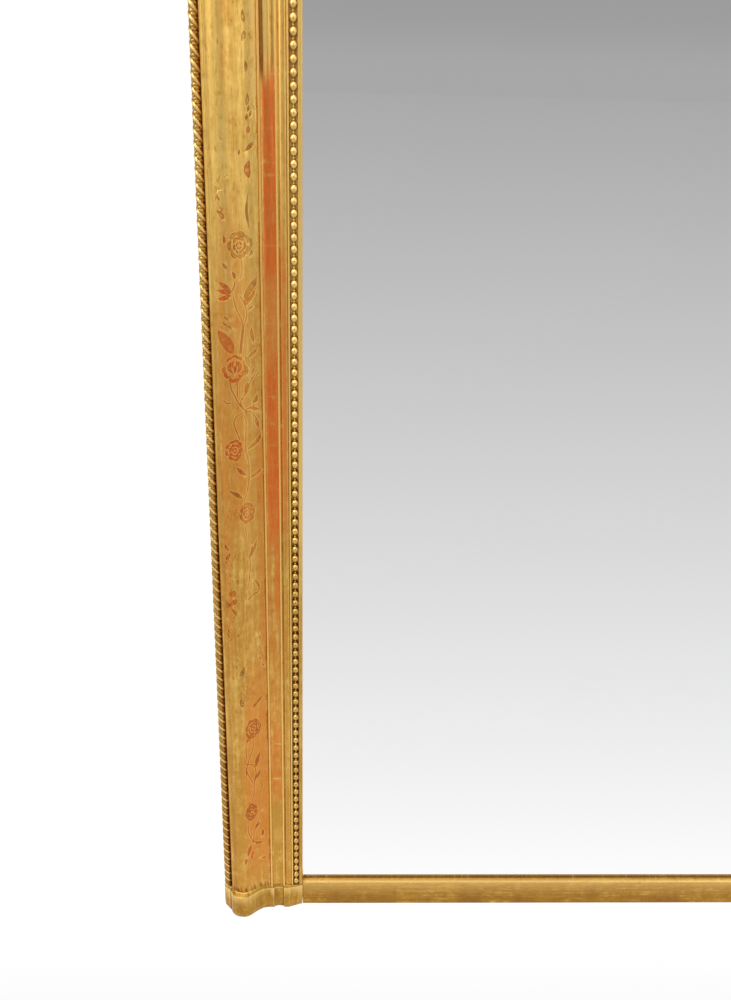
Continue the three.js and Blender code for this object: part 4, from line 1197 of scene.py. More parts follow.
# %% Rope pieces
ROPE_LEAD = 25.9
ROPE_STARTS = 2
ROPE_RADIUS = 5.0
ROPE_CENTRE = (5.3, RAIL_FRONT + 5.15)
PLAIN_SHARE = 0.38
PEARL_PITCH = 3.25
ROPE_RELIEF = 1.4


def rope_radius(angle, run):
    """Radius of the rope at an angle round it and a run along it, and which strand it is. The phase is
    starts * (angle / turn - run / lead). Over each strand the radius falls by 1 - sqrt(1 - w^2) times the
    relief, w from -1 to 1 across the strand. The pearled one lies lower, and lowest between two pearls."""
    phase = np.mod(ROPE_STARTS * (angle / (2 * np.pi) - run / ROPE_LEAD), 1.0)
    plain = phase < PLAIN_SHARE
    w = np.where(plain, phase / PLAIN_SHARE, (phase - PLAIN_SHARE) / (1 - PLAIN_SHARE)) * 2 - 1
    round_off = 1 - np.sqrt(np.maximum(1 - w * w, 0))
    pearl = np.abs(np.sin(np.pi * run / PEARL_PITCH)) ** 0.7
    drop = np.where(plain, ROPE_RELIEF * round_off, 0.4 + (ROPE_RELIEF - 0.4) * round_off + 0.8 * (1 - pearl))
    return ROPE_RADIUS - np.minimum(drop, ROPE_RELIEF), plain


def rope_piece(name, ends, spacing, node, mirror=False):
    """One length: an arc of the rope's radius at each run, closed by a flat back at the rail's level."""
    runs = runs_between(ends, spacing)
    angles = np.radians(np.linspace(228, -48, 31))
    radius, plain = rope_radius(angles[None], runs[:, None])
    radius[[0, -1]] -= 0.3
    u = ROPE_CENTRE[0] + radius * np.cos(angles)
    v = np.maximum(ROPE_CENTRE[1] + radius * np.sin(angles), RAIL_FRONT)
    v[:, [0, -1]] = RAIL_FRONT
    points = place(runs[:, None], u, v).reshape(-1, 3)
    count = len(angles)
    faces = closed_tube(len(runs), count)
    hollow = (ROPE_RADIUS - radius) / ROPE_RELIEF
    # Painted light on the rope: a painted highlight on the crest of each plain strand, painted shade down
    # into the hollows between strands and on the inner side, stronger below about 1100 mm, and darker towards
    # the foot.
    high = 0.3 + 0.7 * np.clip((1100 - folded(runs)) / 200, 0, 1)[:, None]
    degrees = np.degrees(angles)
    inner_shade = high * patch(degrees, -50, 20, 25)[None] + 0.3 * patch(degrees, 150, 230, 30)[None]
    foot = np.clip((520 - folded(runs)) / 400, 0, 1)[:, None]
    edge = np.where(plain, 1.25 - 2.2 * hollow, 0.5 - 1.3 * hollow)
    edge = edge - 0.25 * inner_shade - 0.1 * (1 - high) - 0.15 * foot
    values = {
        "run": np.repeat(runs, count),
        "across": np.tile(degrees / 11, len(runs)),
        # The dark clay between the strands and on the inner side is partly real clay and partly painted
        # shade.
        "bole": (0.6 * hollow + 0.3 * inner_shade + np.where(plain, 0, 0.15)).ravel(),
        "edge": edge.ravel(),
        "dirt_and_shade": np.broadcast_to(0.35 + 0.55 * foot, radius.shape).ravel(),
    }
    piece = solid_piece(name, points, faces, values, mirror=mirror, crease=60)
    return finish_piece(piece, ornament_gold, "gilt_ornament", node)


five_lengths(rope_piece, "rope", "rope_twist", 0.8, 0.7)

# %% [markdown]
# ## The string of beads
# The beads are pressed in strips: a slightly long bead, a thin neck, the next bead. A strip is one lathe
# turned about the run, so the string stays one closed skin with five rings to a bead. The exact normals of
# the ellipsoid make so few faces look round.

# %% Bead pieces
BEAD_PITCH = 12.15
BEAD_RADIUS, BEAD_HALF = 4.15, 4.9
BEAD_CENTRE = (101.5, RAIL_FRONT + 4.35)
BEAD_SIDES = 12


def bead_piece(name, ends, scale, node, mirror=False):
    """Rings at run = bead centre - half * cos(t), radius * sin(t), for t from 20 to 160 degrees. The normal
    of the ellipsoid is (cos t / half, sin t / radius), along the run and away from it. `scale` is a length at
    the beads over the run that it takes, below 1 on the shoulders."""
    length = (ends[1] - ends[0]) * scale
    beads = int(length // BEAD_PITCH)
    pitch = (ends[1] - ends[0]) / beads
    t = np.radians([20, 52, 90, 128, 160])
    offset, ring = -BEAD_HALF * np.cos(t) / scale, BEAD_RADIUS * np.sin(t)
    runs = (ends[0] + (np.arange(beads)[:, None] + 0.5) * pitch + offset).ravel()
    radius = np.tile(ring, beads)
    lean = np.tile(-np.cos(t) / BEAD_HALF, beads)
    swell = np.tile(np.sin(t) / BEAD_RADIUS, beads)
    angle = np.linspace(0, 2 * np.pi, BEAD_SIDES, endpoint=False)
    u = BEAD_CENTRE[0] + radius[:, None] * np.cos(angle)
    v = BEAD_CENTRE[1] + radius[:, None] * np.sin(angle)
    points = place(runs[:, None], u, v).reshape(-1, 3)
    _, _, in_x, in_z = contour(runs)
    flat, forward = np.cos(angle), np.broadcast_to(-np.sin(angle), u.shape)
    outwards = np.stack([in_x[:, None] * flat, forward, in_z[:, None] * flat], -1)
    along = np.stack([-in_z, 0 * in_x, in_x], -1)[:, None]
    facing = outwards * swell[:, None, None] + along * lean[:, None, None]
    facing /= np.linalg.norm(facing, axis=-1)[..., None]
    count = BEAD_SIDES
    faces = closed_tube(len(runs), count)
    # Painted light on each bead: a painted highlight on its front, and painted shade in dark clay and dark
    # colour on its back and sides in the channel, on the end that faces back along the run (its underside on
    # the stiles) and in the necks; beads darker towards the foot.
    neck = np.clip(1 - radius / (0.75 * BEAD_RADIUS), 0, 1)
    low = np.tile(np.clip(0.45 - 0.9 * np.sin(angle), 0, 1), (len(runs), 1))
    foot = np.clip((780 - folded(runs)) / 250, 0, 1)
    under = np.tile(np.interp(offset, [-4.6, -2.5, 0.5], [0.2, 1.0, 0.0]), beads)[:, None]
    values = {
        "run": np.repeat(runs, count),
        "across": np.tile(np.degrees(angle) / 15, len(runs)),
        "bole": (0.2 * neck[:, None] + 0.4 * low + 0.35 * under).ravel(),
        "edge": (0.85 - 0.7 * neck[:, None] - 0.85 * low - 1.05 * under - 0.42 * foot[:, None]).ravel(),
        "dirt_and_shade": np.repeat(0.8 * foot, count),
    }
    piece = solid_piece(name, points, faces, values, facing.reshape(-1, 3), mirror, crease=180)
    print(f"  {beads} beads, {pitch:.2f} mm of run apart")
    return finish_piece(piece, ornament_gold, "gilt_ornament", node)


ON_SHOULDER = (SHOULDER - BEAD_CENTRE[0]) / (SHOULDER - MID_FACE)  # a run at the beads over a run at mid face
five_lengths(bead_piece, "beads", "bead_run", 1.0, ON_SHOULDER)

# %% [markdown]
# ## The plinths
# Each stile stands on a block whose front repeats the mouldings above it, swollen a few millimetres, with
# an upright face and a top that slopes back to meet them. The same section is drawn at twelve heights, with
# less and less swelling towards the top, and joined upwards; a saw cut behind makes room for the plate.

# %% Plinth section
PLINTH_TOP = 42.0


def plinth_section(proud, inset=0.0):
    """The plinth's outline for proud from 1, on the face, to 0, where it meets the moulding, pulled back by
    `inset` at its front edges."""

    def rise(at, extra):
        """A level `at` in front of the rail, and `extra` more where the plinth is fully swollen."""
        return RAIL_FRONT + at + extra * proud - inset

    def belly(share):
        """The level of the swollen ogee at a share of the height from its toe to its crown."""
        return rise(TOE_RISE + (OGEE_RISE - TOE_RISE) * share, 6.0)

    swell = ROPE - 2 * proud
    hollow = 68.0 + 2 * proud
    end = SIGHT_EDGE + 0.5
    return outline(
        (0, MOULDING_BACK),
        [(inset, rise(5, -0.5))],
        [(swell + 0.2, rise(10.3, 3))],
        [(swell + 0.5, rise(9.8, 2.6))],
        [(swell + 1.1, rise(10.6, 3.5))],
        [(swell + 3.5, belly(0.7)), (CROWN_U - 10, belly(1)), (CROWN_U, belly(1))],
        [(CROWN_U + 12.5, belly(1)), (CROWN_U + 17.5, rise(TOE_RISE, 2)), (OGEE_TOE - 2, rise(TOE_RISE, 2))],
        [(hollow, rise(8.3, 1))],
        [(hollow + 2, rise(4, 2)), (hollow + 5, rise(4, 2)), (79.0, rise(4, 2))],
        [(83.0, rise(4.8, 2))],
        [(84.3, rise(7.4, 1.2))],
        [(87.0, rise(7.9, 1.5)), (91.0, rise(7.9, 1.5)), (94.0, rise(7.5, 0.4))],
        [(end - inset, rise(6.4, -3.6))],
        [(end, MOULDING_BACK)],
        steps=16,
    )


def cut_away(piece, low, high):
    """Takes a box between two corners (mm) out of a piece, by a boolean that is then made its own mesh."""
    box = bpy.data.meshes.new("cutter")
    corners = np.array(list(product(*zip(low, high)))) * MM
    sides = [(0, 1, 3, 2), (4, 6, 7, 5), (0, 4, 5, 1), (2, 3, 7, 6), (0, 2, 6, 4), (1, 5, 7, 3)]
    box.from_pydata(corners, [], sides)
    cutter = bpy.data.objects.new("cutter", box)
    bpy.context.scene.collection.objects.link(cutter)
    saw = piece.modifiers.new("saw", "BOOLEAN")
    saw.operation, saw.solver, saw.object = "DIFFERENCE", "EXACT", cutter
    evaluated = piece.evaluated_get(bpy.context.evaluated_depsgraph_get())
    result = bpy.data.meshes.new_from_object(evaluated)
    piece.modifiers.clear()
    piece.data = result
    bpy.data.objects.remove(cutter)
    return piece


# %% Plinth pieces
PLINTH_LEVELS = np.array(  # height, share of the swelling there, and how far the front edges are pulled back
    [(0.0, 1.0, 2.4), (1.2, 1.0, 1.4), (3.5, 1.0, 0.6), (8.0, 1.0, 0.0), (18.0, 1.0, 0.0), (36.0, 1.0, 0.0)]
    + [(36.7, 1.0, 0.1), (37.3, 0.94, 0.2), (38.6, 0.72, 0.1), (40.2, 0.4, 0.0), (41.4, 0.12, 0.0)]
    + [(PLINTH_TOP, 0.0, 0.0)]
)
# Painted light on the plinth's front, by height: painted shade at the foot, a painted highlight along the
# arris at 36.7 mm, painted shade at 39.5 mm and a lighter top.
PAINTED_LIGHT_AT, PAINTED_LIGHT = [0, 7, 35.5, 36.7, 37.6, 39.5, 40.6, 42], [-0.5, 0, 0.1, 1.2, 0.4, -0.4, 0.2, 0.6]
REBATE_DROP = 10.3  # from the rail's top down to the rebate in which the plate stands


def plinth_piece(hand, mirror):
    """One plinth: its section at each level, joined upwards, with the plate's place sawn out behind."""
    full = plinth_section(1.0)
    heights, swelling, insets = PLINTH_LEVELS.T
    sections = [eased(plinth_section(proud, inset), 0.5, like=full) for proud, inset in zip(swelling, insets)]
    sections = np.array(sections)
    levels, count = sections.shape[:2]
    z = np.broadcast_to(heights[:, None], (levels, count))
    points = np.stack([-HALF + sections[..., 0], WALL - sections[..., 1], z], -1)
    faces = closed_tube(levels, count)
    arris = np.interp(heights, PAINTED_LIGHT_AT, PAINTED_LIGHT)
    corners = convexity(sections[0], 1.5)
    values = {
        "run": np.repeat(heights, count),
        "across": np.tile(arc_along(sections[0]), levels),
        "bole": 0.1,
        # Painted light: the bands by height, with painted highlights on arrises and painted shade in corners.
        "edge": np.clip(arris[:, None] + np.where(corners > 0, 0.4, 0.9) * corners, -1, 1).ravel(),
        # Browner on the upright face than on the sloping top: painted shade, with some dirt.
        "dirt_and_shade": np.repeat(np.interp(heights, [0, 36, 38, 42], [0.8, 0.8, 0.5, 0.5]), count),
    }
    piece = solid_piece(f"plinth_{hand}_gilt", points.reshape(-1, 3), faces, values, mirror=mirror)
    sides = sorted((1 if mirror else -1) * (HALF - u) for u in (LIP_START, SIGHT_EDGE + 10))
    sill = span("bottom_rail_gilt")[1][2] - REBATE_DROP
    cut_away(piece, (sides[0], WALL - LIP_BACK, sill), (sides[1], WALL + 5, PLINTH_TOP + 10))
    return finish_piece(piece, rail_gold, "gilt_moulding", f"plinth_{hand}")


for hand, mirror in HANDS:
    plinth_piece(hand, mirror)

# %% [markdown]
# ## The bottom rail
# A plain flat slip with a small bevel, the most handled part of the frame, so its gold is streaked with
# brown and its arris is a little uneven. The unevenness is real here: the arris points wander by a tenth of
# a millimetre or so, and there are three shallow dings.

# %% Rail piece
rng = np.random.default_rng(7)


def wander(count, size, smoothness):
    """Seeded random bumps of about `size` mm, averaged over `smoothness` neighbours."""
    raw = rng.normal(size=count + 2 * smoothness)
    kernel = np.hanning(2 * smoothness + 1)
    return size * np.convolve(raw, kernel / np.sqrt((kernel**2).sum()), "valid")


rail_low, rail_high = span("bottom_rail_gilt")
RAIL_TOP, BEVEL, RAIL_REBATE = rail_high[2], 4.0, rail_high[2] - REBATE_DROP
rail_section = eased(
    np.array(
        [
            (0, MOULDING_BACK),
            (RAIL_REBATE, MOULDING_BACK),
            (RAIL_REBATE, LIP_BACK),
            (RAIL_TOP, LIP_BACK),
            (RAIL_TOP, RAIL_FRONT - BEVEL),
            (RAIL_TOP - BEVEL, RAIL_FRONT),
            (0.0, RAIL_FRONT),
        ],
        float,
    ),
    0.6,
)
across_rail = np.linspace(rail_low[0], rail_high[0], 260)
count = len(rail_section)
z = np.tile(rail_section[:, 0], (len(across_rail), 1))
v = np.tile(rail_section[:, 1], (len(across_rail), 1))
at_front = rail_section[:, 1] > RAIL_FRONT - 2
on_arris = patch(rail_section[:, 0], RAIL_TOP - BEVEL - 1.5, RAIL_TOP - BEVEL + 1.5, 0.8) * at_front
v -= np.abs(wander(len(across_rail), 0.12, 4))[:, None] * on_arris
dings = ((-521.0, 36.0, 2.2, 0.5), (-98.0, 38.0, 3.0, 0.3), (310.0, 38.0, 2.5, 0.35))
for x0, z0, size, deep in dings:
    near = np.exp(-(((across_rail - x0) / size) ** 2))[:, None] * np.exp(-(((z - z0) / size) ** 2))
    v -= deep * near * (v > RAIL_FRONT - 3)
points = np.stack([np.broadcast_to(across_rail[:, None], z.shape), WALL - v, z], -1)
on_ledge = (rail_section[:, 0] > RAIL_TOP - 0.3) & (rail_section[:, 1] < RAIL_FRONT - BEVEL - 0.3)
worn = np.clip(0.5 + wander(len(across_rail), 0.35, 9), 0, 1)
worn = patch(rail_section[:, 0], 0, 22, 10)[None] * worn[:, None]
on_bevel = patch(rail_section[:, 0], RAIL_TOP - BEVEL, RAIL_TOP, 0.5)
rail_values = {
    "run": np.repeat(across_rail + HALF, count),
    "across": np.tile(rail_section[:, 0], len(across_rail)),
    "bole": (0.1 + 0.7 * worn * (rail_section[:, 1] > RAIL_FRONT - 1)).ravel(),
    # Painted highlight on the arris and the bevel, and painted shade on the narrow ledge behind the bevel.
    "edge": np.tile(0.5 * on_arris + 0.35 * on_bevel - 0.75 * on_ledge, len(across_rail)),
    "dirt_and_shade": 0.9,
}
rail_faces = closed_tube(len(across_rail), count)
rail = solid_piece("bottom_rail_slip", points.reshape(-1, 3), rail_faces, rail_values)
finish_piece(rail, rail_gold, "gilt_moulding", "bottom_rail_gilt")

# %% [markdown]
# ## The plate
# Old plate is ground flat, silvered behind and has its arrises taken off with a stone. Its outline is the
# contour carried inwards, so it follows the shoulders. The finish is a near perfect mirror, with the
# faintest clouding here and there.

# %% Plate piece
GLASS_EDGE = 97.9
SILL = span("mirror_plate")[0][2]


def plate_outline(inset):
    """Points round the plate: up the left edge, over the shoulders and down the right, `inset` mm in."""
    turn_runs = np.linspace(*SHOULDER_RUNS, 25)
    u = GLASS_EDGE + inset
    half = np.vstack([[place(SILL + inset, u, 0)], place(turn_runs, u, 0).reshape(-1, 3)])
    return np.vstack([half, (half * (-1, 1, 1))[::-1]])


GRIND = 0.6  # width and depth of the bevel ground off each arris
layers = [(GRIND, GLASS_BACK), (0.0, GLASS_BACK + GRIND), (0.0, GLASS_FRONT - GRIND), (GRIND, GLASS_FRONT)]
plate_rings = []
for inset, level in layers:
    ring = plate_outline(inset)
    ring[:, 1] = WALL - level
    plate_rings.append(ring)
plate_faces = closed_tube(len(layers), len(plate_rings[0]))
plate = solid_piece("silvered_plate", np.vstack(plate_rings), plate_faces, crease=20)

n = Nodes(bpy.data.materials.new("silvered_glass"))
here = n.here()
cloud = n.between(n.noise(here, 6.0, 5.0, 0.6, 0.4), 0.45, 0.75)
spots = n.between(n.noise(here, 260.0, 2.0), 0.80, 0.86)
silver = n.blend(n.math("MULTIPLY", cloud, 0.06), colour(249, 249, 249), colour(243, 244, 243))
silver = n.blend(n.math("MULTIPLY", spots, 0.05), silver, colour(200, 200, 196))
clouding = n.math("MULTIPLY", cloud, 0.004)
plate_finish = n.surface({"Base Color": silver, "Roughness": clouding}, {"Metallic": 1.0})
finish_piece(plate, plate_finish, "silvered_glass", "mirror_plate")

# %% [markdown]
# ## Pine
# The carcass, the back boards and the glue blocks are pine. A board sawn from a trunk cuts through its year
# rings, so it shows arches in its middle and fine lines at its sides, with a knot here and there. A wave
# texture in rings about a heart line beside the board gives the same figure, stretched along the grain.

# %% Pine finishes
def pine(name, pale, dark, grain_axis, heart, rough=0.72):
    """Year rings round a heart line that runs beside the board: a wave over the distance from it, bent by
    slow noise along the grain, so that a flat-sawn face shows broad arches in its middle and fine lines at
    its sides."""
    n = Nodes(bpy.data.materials.new(name))
    here = n.here()
    along = [1.0, 1.0, 1.0]
    along[grain_axis] = 0.06
    from_heart = tuple(-h * a for h, a in zip(heart, along))
    board = n.node("ShaderNodeMapping", {"Vector": here, "Location": from_heart, "Scale": along})
    bending = {"Distortion": 15.0, "Detail": 3.0, "Detail Scale": 0.6, "Detail Roughness": 0.45}
    rings = n.node(
        "ShaderNodeTexWave",
        {"Vector": board, "Scale": 26.0, **bending},
        output="Fac",
        wave_type="RINGS",
        rings_direction="XYZ"[grain_axis],
        wave_profile="SAW",
    )
    fibre_scale = [700.0, 700.0, 700.0]
    fibre_scale[grain_axis] = 12.0
    fibre = n.noise(n.stretched(here, fibre_scale), 1.0, 3.0, 0.6)
    grain = n.math("MULTIPLY_ADD", n.between(rings, 0.35, 1.0), 0.6, n.math("MULTIPLY", fibre, 0.5))
    wood = n.blend(n.between(grain, 0.2, 0.95), pale, dark)
    spot_scale = [9.0, 9.0, 9.0]
    spot_scale[grain_axis] = 3.0
    knots = n.stretched(here, spot_scale)
    spots = n.node("ShaderNodeTexVoronoi", {"Vector": knots, "Scale": 1.0}, output="Distance")
    wood = n.blend(n.between(spots, 0.09, 0.04, 0.0, 0.7), wood, colour(96, 56, 28))
    wood = n.blend(n.between(n.noise(here, 5.0, 4.0), 0.45, 0.75, 0.0, 0.35), wood, colour(104, 76, 50))
    height = n.math("MULTIPLY_ADD", fibre, 0.7, n.math("MULTIPLY", rings, 0.3))
    roughness = n.between(fibre, 0.2, 0.8, rough, rough + 0.18)
    return n.surface(
        {"Base Color": wood, "Roughness": roughness, "Normal": n.bump(height, 0.0002, 0.7)},
        {"Metallic": 0.0, "Specular IOR Level": 0.3},
    )


PINE_PALE, PINE_DARK = colour(204, 164, 112), colour(166, 116, 68)
stile_pine = [
    pine(f"stile_pine_{k}", PINE_PALE, PINE_DARK, 2, (x, 0.05, 0.0)) for k, x in enumerate((-0.53, 0.6))
]
level_pine = pine("level_pine", PINE_PALE, PINE_DARK, 0, (0.3, 0.04, 0.9))
block_pine = pine("block_pine", colour(190, 146, 96), colour(150, 104, 60), 2, (0.2, 0.1, 0.0), 0.8)
board_pine = []
for k in range(1, 5):
    low, high = span(f"back_board_{k}")
    tone = (9, -11, 5, -7)[k - 1]
    pale, dark = colour(182 + tone, 138 + tone, 90 + tone), colour(142 + tone, 98 + tone, 58 + tone)
    heart = ((low[0] * (0.3 + 0.1 * k) + high[0] * (0.7 - 0.1 * k)) * MM, 0.03 + 0.012 * k, 0.13 * k)
    board_pine.append(pine(f"board_pine_{k}", pale, dark, 2, heart, 0.78))


# %% [markdown]
# ## Softened timber
# No plane leaves a knife edge. Each timber is copied from its CAD node, its flat faces are joined up again,
# and a narrow bevel takes the arris off, as a stroke of glass paper does.

# %% Timber pieces
def softened(name, node, width, material, slot):
    """A merged copy of a CAD node with its flats dissolved and its edges bevelled `width` mm."""
    shape = bmesh.new()
    shape.from_mesh(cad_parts[node].data)
    bmesh.ops.remove_doubles(shape, verts=shape.verts, dist=0.01 * MM)
    bmesh.ops.dissolve_limit(shape, angle_limit=math.radians(0.6), verts=shape.verts, edges=shape.edges)
    sharp = [edge for edge in shape.edges if edge.is_manifold and edge.calc_face_angle(0) > math.radians(30)]
    bmesh.ops.bevel(
        shape, geom=sharp, offset=width * MM, segments=2, profile=0.5, affect="EDGES", clamp_overlap=True
    )
    bmesh.ops.triangulate(shape, faces=[f for f in shape.faces if len(f.verts) > 4])
    mesh = bpy.data.meshes.new(name)
    shape.to_mesh(mesh)
    open_edges = sum(not edge.is_manifold for edge in shape.edges)
    shape.free()
    mesh.shade_smooth()
    mesh.set_sharp_from_angle(angle=math.radians(50))
    return finish_piece(report_piece(bpy.data.objects.new(name, mesh), open_edges), material, slot, node)


for hand, wood in zip(("left", "right"), stile_pine):
    softened(f"stile_{hand}", f"carcass_stile_{hand}", 0.8, wood, "carcass_pine")
    softened(f"shoulder_{hand}", f"carcass_shoulder_{hand}", 0.8, wood, "carcass_pine")
softened("top_rail", "carcass_top_rail", 0.8, level_pine, "carcass_pine")
softened("bottom_rail", "carcass_bottom_rail", 0.8, level_pine, "carcass_pine")
for i in range(1, 5):
    softened(f"board_{i}", f"back_board_{i}", 0.9, board_pine[i - 1], "board_pine")
for node in sorted(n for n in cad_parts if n.startswith("glue_block")):
    softened(node.replace("glue_block", "block"), node, 0.7, block_pine, "board_pine")

# %% [markdown]
# ## Iron and brass
# Two keyhole plates let into the back carry the frame, each held by two slotted screws, and eight longer
# ones hold the boards. Plates were stamped from sheet and filed; screws are turned, with a sawn slot. Steel
# here is dull and a little brown, brass has gone unevenly dark.

# %% Metal finishes
def old_metal(name, bright, dull, rough, scale):
    """Tarnish is two sizes of noise; where it gathers the metal is darker and rougher."""
    n = Nodes(bpy.data.materials.new(name))
    here = n.here()
    coarse, fine = n.noise(here, scale, 5.0, 0.65), n.noise(here, scale * 7, 3.0)
    tarnish = n.math("MULTIPLY_ADD", coarse, 0.7, n.math("MULTIPLY", fine, 0.3))
    amount = n.between(tarnish, 0.38, 0.66)
    scratches = n.noise(n.stretched(here, (4000.0, 4000.0, 160.0)), 1.0, 2.0)
    return n.surface(
        {
            "Base Color": n.blend(amount, bright, dull),
            "Roughness": n.math("MULTIPLY_ADD", amount, 0.25, rough),
            "Normal": n.bump(scratches, 0.00004, 0.6),
        },
        {"Metallic": 1.0},
    )


hanger_brass = old_metal("hanger_brass", colour(206, 166, 92), colour(128, 94, 46), 0.34, 120.0)
screw_steel = old_metal("screw_steel", colour(150, 144, 136), colour(86, 70, 58), 0.4, 260.0)


# %% Screws and plates
def turned_screw(name, node, head, head_depth, shank, slot_width, slot_depth):
    """A countersunk screw turned about Y: radii along its length, with the slot sawn out of the head."""
    low, high = span(node)
    centre = (low + high) / 2
    back = high[1]
    length = high[1] - low[1]
    depth = np.array([0.0, 0.0, 0.15, 0.45, head_depth, head_depth + 1, length - 3, length - 0.2, length])
    rim, core = head / 2, shank / 2
    radius = np.array([0.02, rim - 0.2, rim - 0.05, rim - 0.1, core, core, core - 0.1, 0.35, 0.02])
    angle = np.linspace(0, 2 * np.pi, 28, endpoint=False)
    points = np.stack(
        [
            centre[0] + radius[:, None] * np.cos(angle),
            np.broadcast_to((back - depth)[:, None], (len(depth), len(angle))),
            centre[2] + radius[:, None] * np.sin(angle),
        ],
        -1,
    ).reshape(-1, 3)
    piece = solid_piece(name, points, closed_tube(len(depth), len(angle)))
    slot_low = (centre[0] - head, back - slot_depth, centre[2] - slot_width / 2)
    slot_high = (centre[0] + head, back + 2, centre[2] + slot_width / 2)
    cut_away(piece, slot_low, slot_high)
    piece.data.set_sharp_from_angle(angle=math.radians(35))
    return finish_piece(piece, screw_steel, "screw_steel", node)


for node in sorted(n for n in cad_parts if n.startswith("board_screw")):
    turned_screw(node.replace("board_screw", "long_screw"), node, 7.0, 1.8, 3.6, 1.0, 0.8)
for node in sorted(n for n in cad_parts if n.startswith("plate_screw")):
    turned_screw(node.replace("plate_screw", "short_screw"), node, 6.4, 1.6, 3.2, 0.9, 0.7)
for hand in ("left", "right"):
    softened(f"hanging_plate_{hand}", f"keyhole_plate_{hand}", 0.25, hanger_brass, "hanger_brass")

# %% [markdown]
# ## Studio
# The frame stands in a plain studio. The glass shows what lies in front of it: the pale floor, which falls
# from white at the foot of the frame to grey in the distance, and at the top of the picture a little of the
# far wall. So the floor gives off its own light, less and less with the distance in front of the glass, and
# the far wall is a soft grey only straight ahead. Broad lamps stand outside what the glass shows in this
# picture.

# %% Floor
FLOOR_AT_FOOT, FLOOR_FAR = 1.05, 0.41  # light given off at the frame's foot and far away
FLOOR_HALF_WAY = 1.2  # metres in front of the glass where it is half way between the two

floor_mesh = bpy.data.meshes.new("floor")
FLOOR_REACH = 60.0
floor_corners = [(x * FLOOR_REACH, y * FLOOR_REACH, 0) for x, y in ((-1, -1), (1, -1), (1, 1), (-1, 1))]
floor_mesh.from_pydata(floor_corners, [], [(0, 1, 2, 3)])
floor = bpy.data.objects.new("floor", floor_mesh)
bpy.context.scene.collection.objects.link(floor)
floor.location.z = -0.0005
n = Nodes(bpy.data.materials.new("pale_floor"))
in_front = n.math("MULTIPLY", n.node("ShaderNodeSeparateXYZ", {0: n.here()}, output="Y"), -1.0)
distance = n.math("MAXIMUM", in_front, 0.0)
# far light + (light at the foot - far light) / (1 + distance / half way)
near_share = n.math("DIVIDE", 1.0, n.math("MULTIPLY_ADD", distance, 1 / FLOOR_HALF_WAY, 1.0))
brightness = n.math("MULTIPLY_ADD", near_share, FLOOR_AT_FOOT - FLOOR_FAR, FLOOR_FAR)
lamp = n.node("ShaderNodeEmission", {"Color": (1.0, 1.0, 1.0, 1.0), "Strength": brightness})
n.node("ShaderNodeOutputMaterial", {"Surface": lamp})
floor.data.materials.append(n.owner)

# %% World
n = Nodes(bpy.data.worlds.new("studio"))
bpy.context.scene.world = n.owner
heading = n.node("ShaderNodeTexCoord", output="Generated")
axes = n.tree.nodes.new("ShaderNodeSeparateXYZ")
n.tree.links.new(heading, axes.inputs[0])
WALL_FOOT, WALL_LOW, WALL_HIGH = (colour(grey, grey, grey) for grey in (172, 161, 235))
low_wall = n.blend(n.between(axes.outputs["Z"], 0.0, 0.06), WALL_FOOT, WALL_LOW)
ahead_grey = n.blend(n.between(axes.outputs["Z"], 0.06, 0.7), low_wall, WALL_HIGH)
ahead = n.between(axes.outputs["Y"], -0.82, -0.5, 1.0, 0.0)
around = n.between(axes.outputs["Y"], 0.1, 0.6)
sky = n.blend(around, colour(205, 205, 205), colour(255, 255, 255))
sky = n.blend(ahead, sky, ahead_grey)
background = n.node("ShaderNodeBackground", {"Color": sky, "Strength": 1.0})
n.node("ShaderNodeOutputWorld", {"Surface": background})


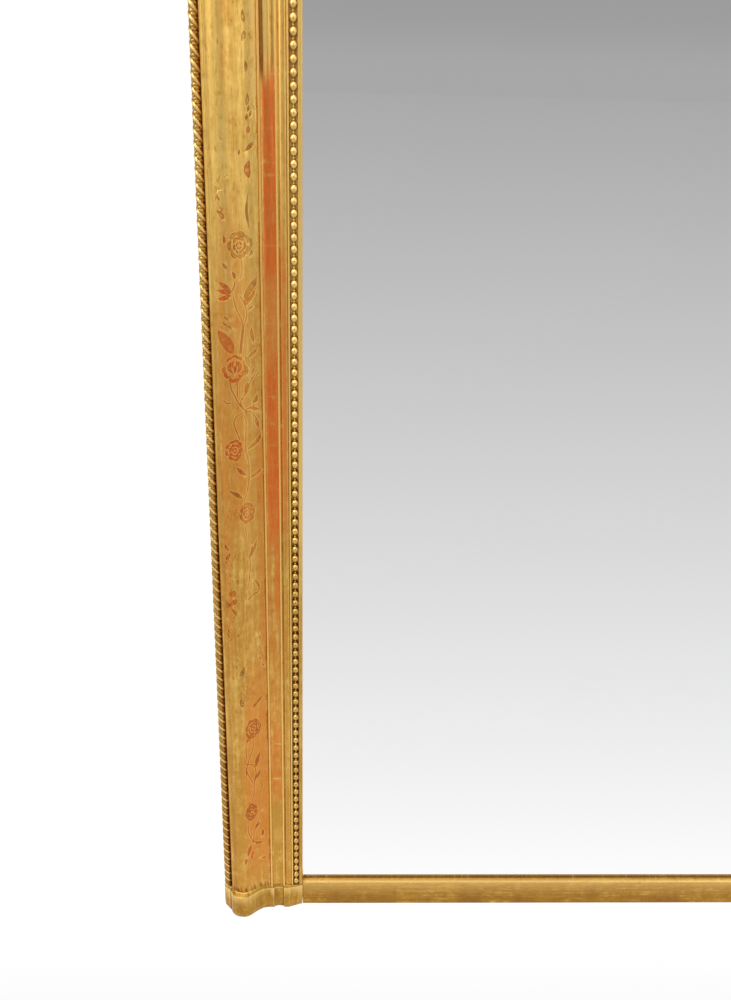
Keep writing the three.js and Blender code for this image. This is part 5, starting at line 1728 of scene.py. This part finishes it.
# %% Lamps
def lamp_at(name, spot, target, size, power, tint=(1.0, 1.0, 1.0)):
    """A rectangular lamp that points at a target and doesn't show itself to the camera."""
    data = bpy.data.lights.new(name, "AREA")
    data.shape, data.size, data.size_y = "RECTANGLE", size[0], size[1]
    data.energy, data.color = power, tint
    made = bpy.data.objects.new(name, data)
    made.location = spot
    made.rotation_euler = (Vector(target) - Vector(spot)).to_track_quat("-Z", "Y").to_euler()
    made.visible_camera = False
    bpy.context.scene.collection.objects.link(made)
    return made


lamp_at("key_lamp", (-1.95, -1.75, 2.3), (-0.5, 0, 0.8), (2.0, 2.0), 34)
lamp_at("top_lamp", (-0.3, -0.9, 3.2), (-0.5, 0, 0.9), (1.8, 1.2), 16)
lamp_at("right_lamp", (1.6, -1.7, 1.9), (-0.5, 0, 0.8), (1.4, 2.0), 12)

# %% [markdown]
# ## Camera
# The photograph was taken from close to the lower left corner, about 1.1 m up and looking down by some 24
# degrees, with the camera turned very slightly. Its place was found by fitting the photographed edges, the
# rail, the plinth's foot and the spacing of the beads, with a 35 mm lens. Lenses from 28 to 42 mm fit
# nearly as well.

# %% Camera
LENS, SENSOR = 35.0, 36.0
YAW, PITCH, ROLL = (math.radians(angle) for angle in (2.18, 23.75, -1.62))
EYE = np.array([144.7 - HALF, -1053.3 + WALL - RAIL_FRONT, 1102.2]) * MM
ahead = np.array([math.sin(YAW) * math.cos(PITCH), math.cos(YAW) * math.cos(PITCH), -math.sin(PITCH)])
rightwards = np.array([math.cos(YAW), -math.sin(YAW), 0.0])
downwards = np.cross(ahead, rightwards)
image_right = math.cos(ROLL) * rightwards + math.sin(ROLL) * downwards
image_down = -math.sin(ROLL) * rightwards + math.cos(ROLL) * downwards
camera_data = bpy.data.cameras.new("camera")
camera_data.lens, camera_data.sensor_width, camera_data.sensor_fit = LENS, SENSOR, "AUTO"
camera = bpy.data.objects.new("camera", camera_data)
axes = np.column_stack([image_right, -image_down, -ahead, EYE])
camera.matrix_world = Matrix([list(row) for row in np.vstack([axes, [0, 0, 0, 1]])])
bpy.context.scene.collection.objects.link(camera)
bpy.context.scene.camera = camera
bpy.context.scene.view_settings.view_transform = "Standard"
bpy.context.scene.view_settings.look = "None"
print("camera at", EYE.round(3))
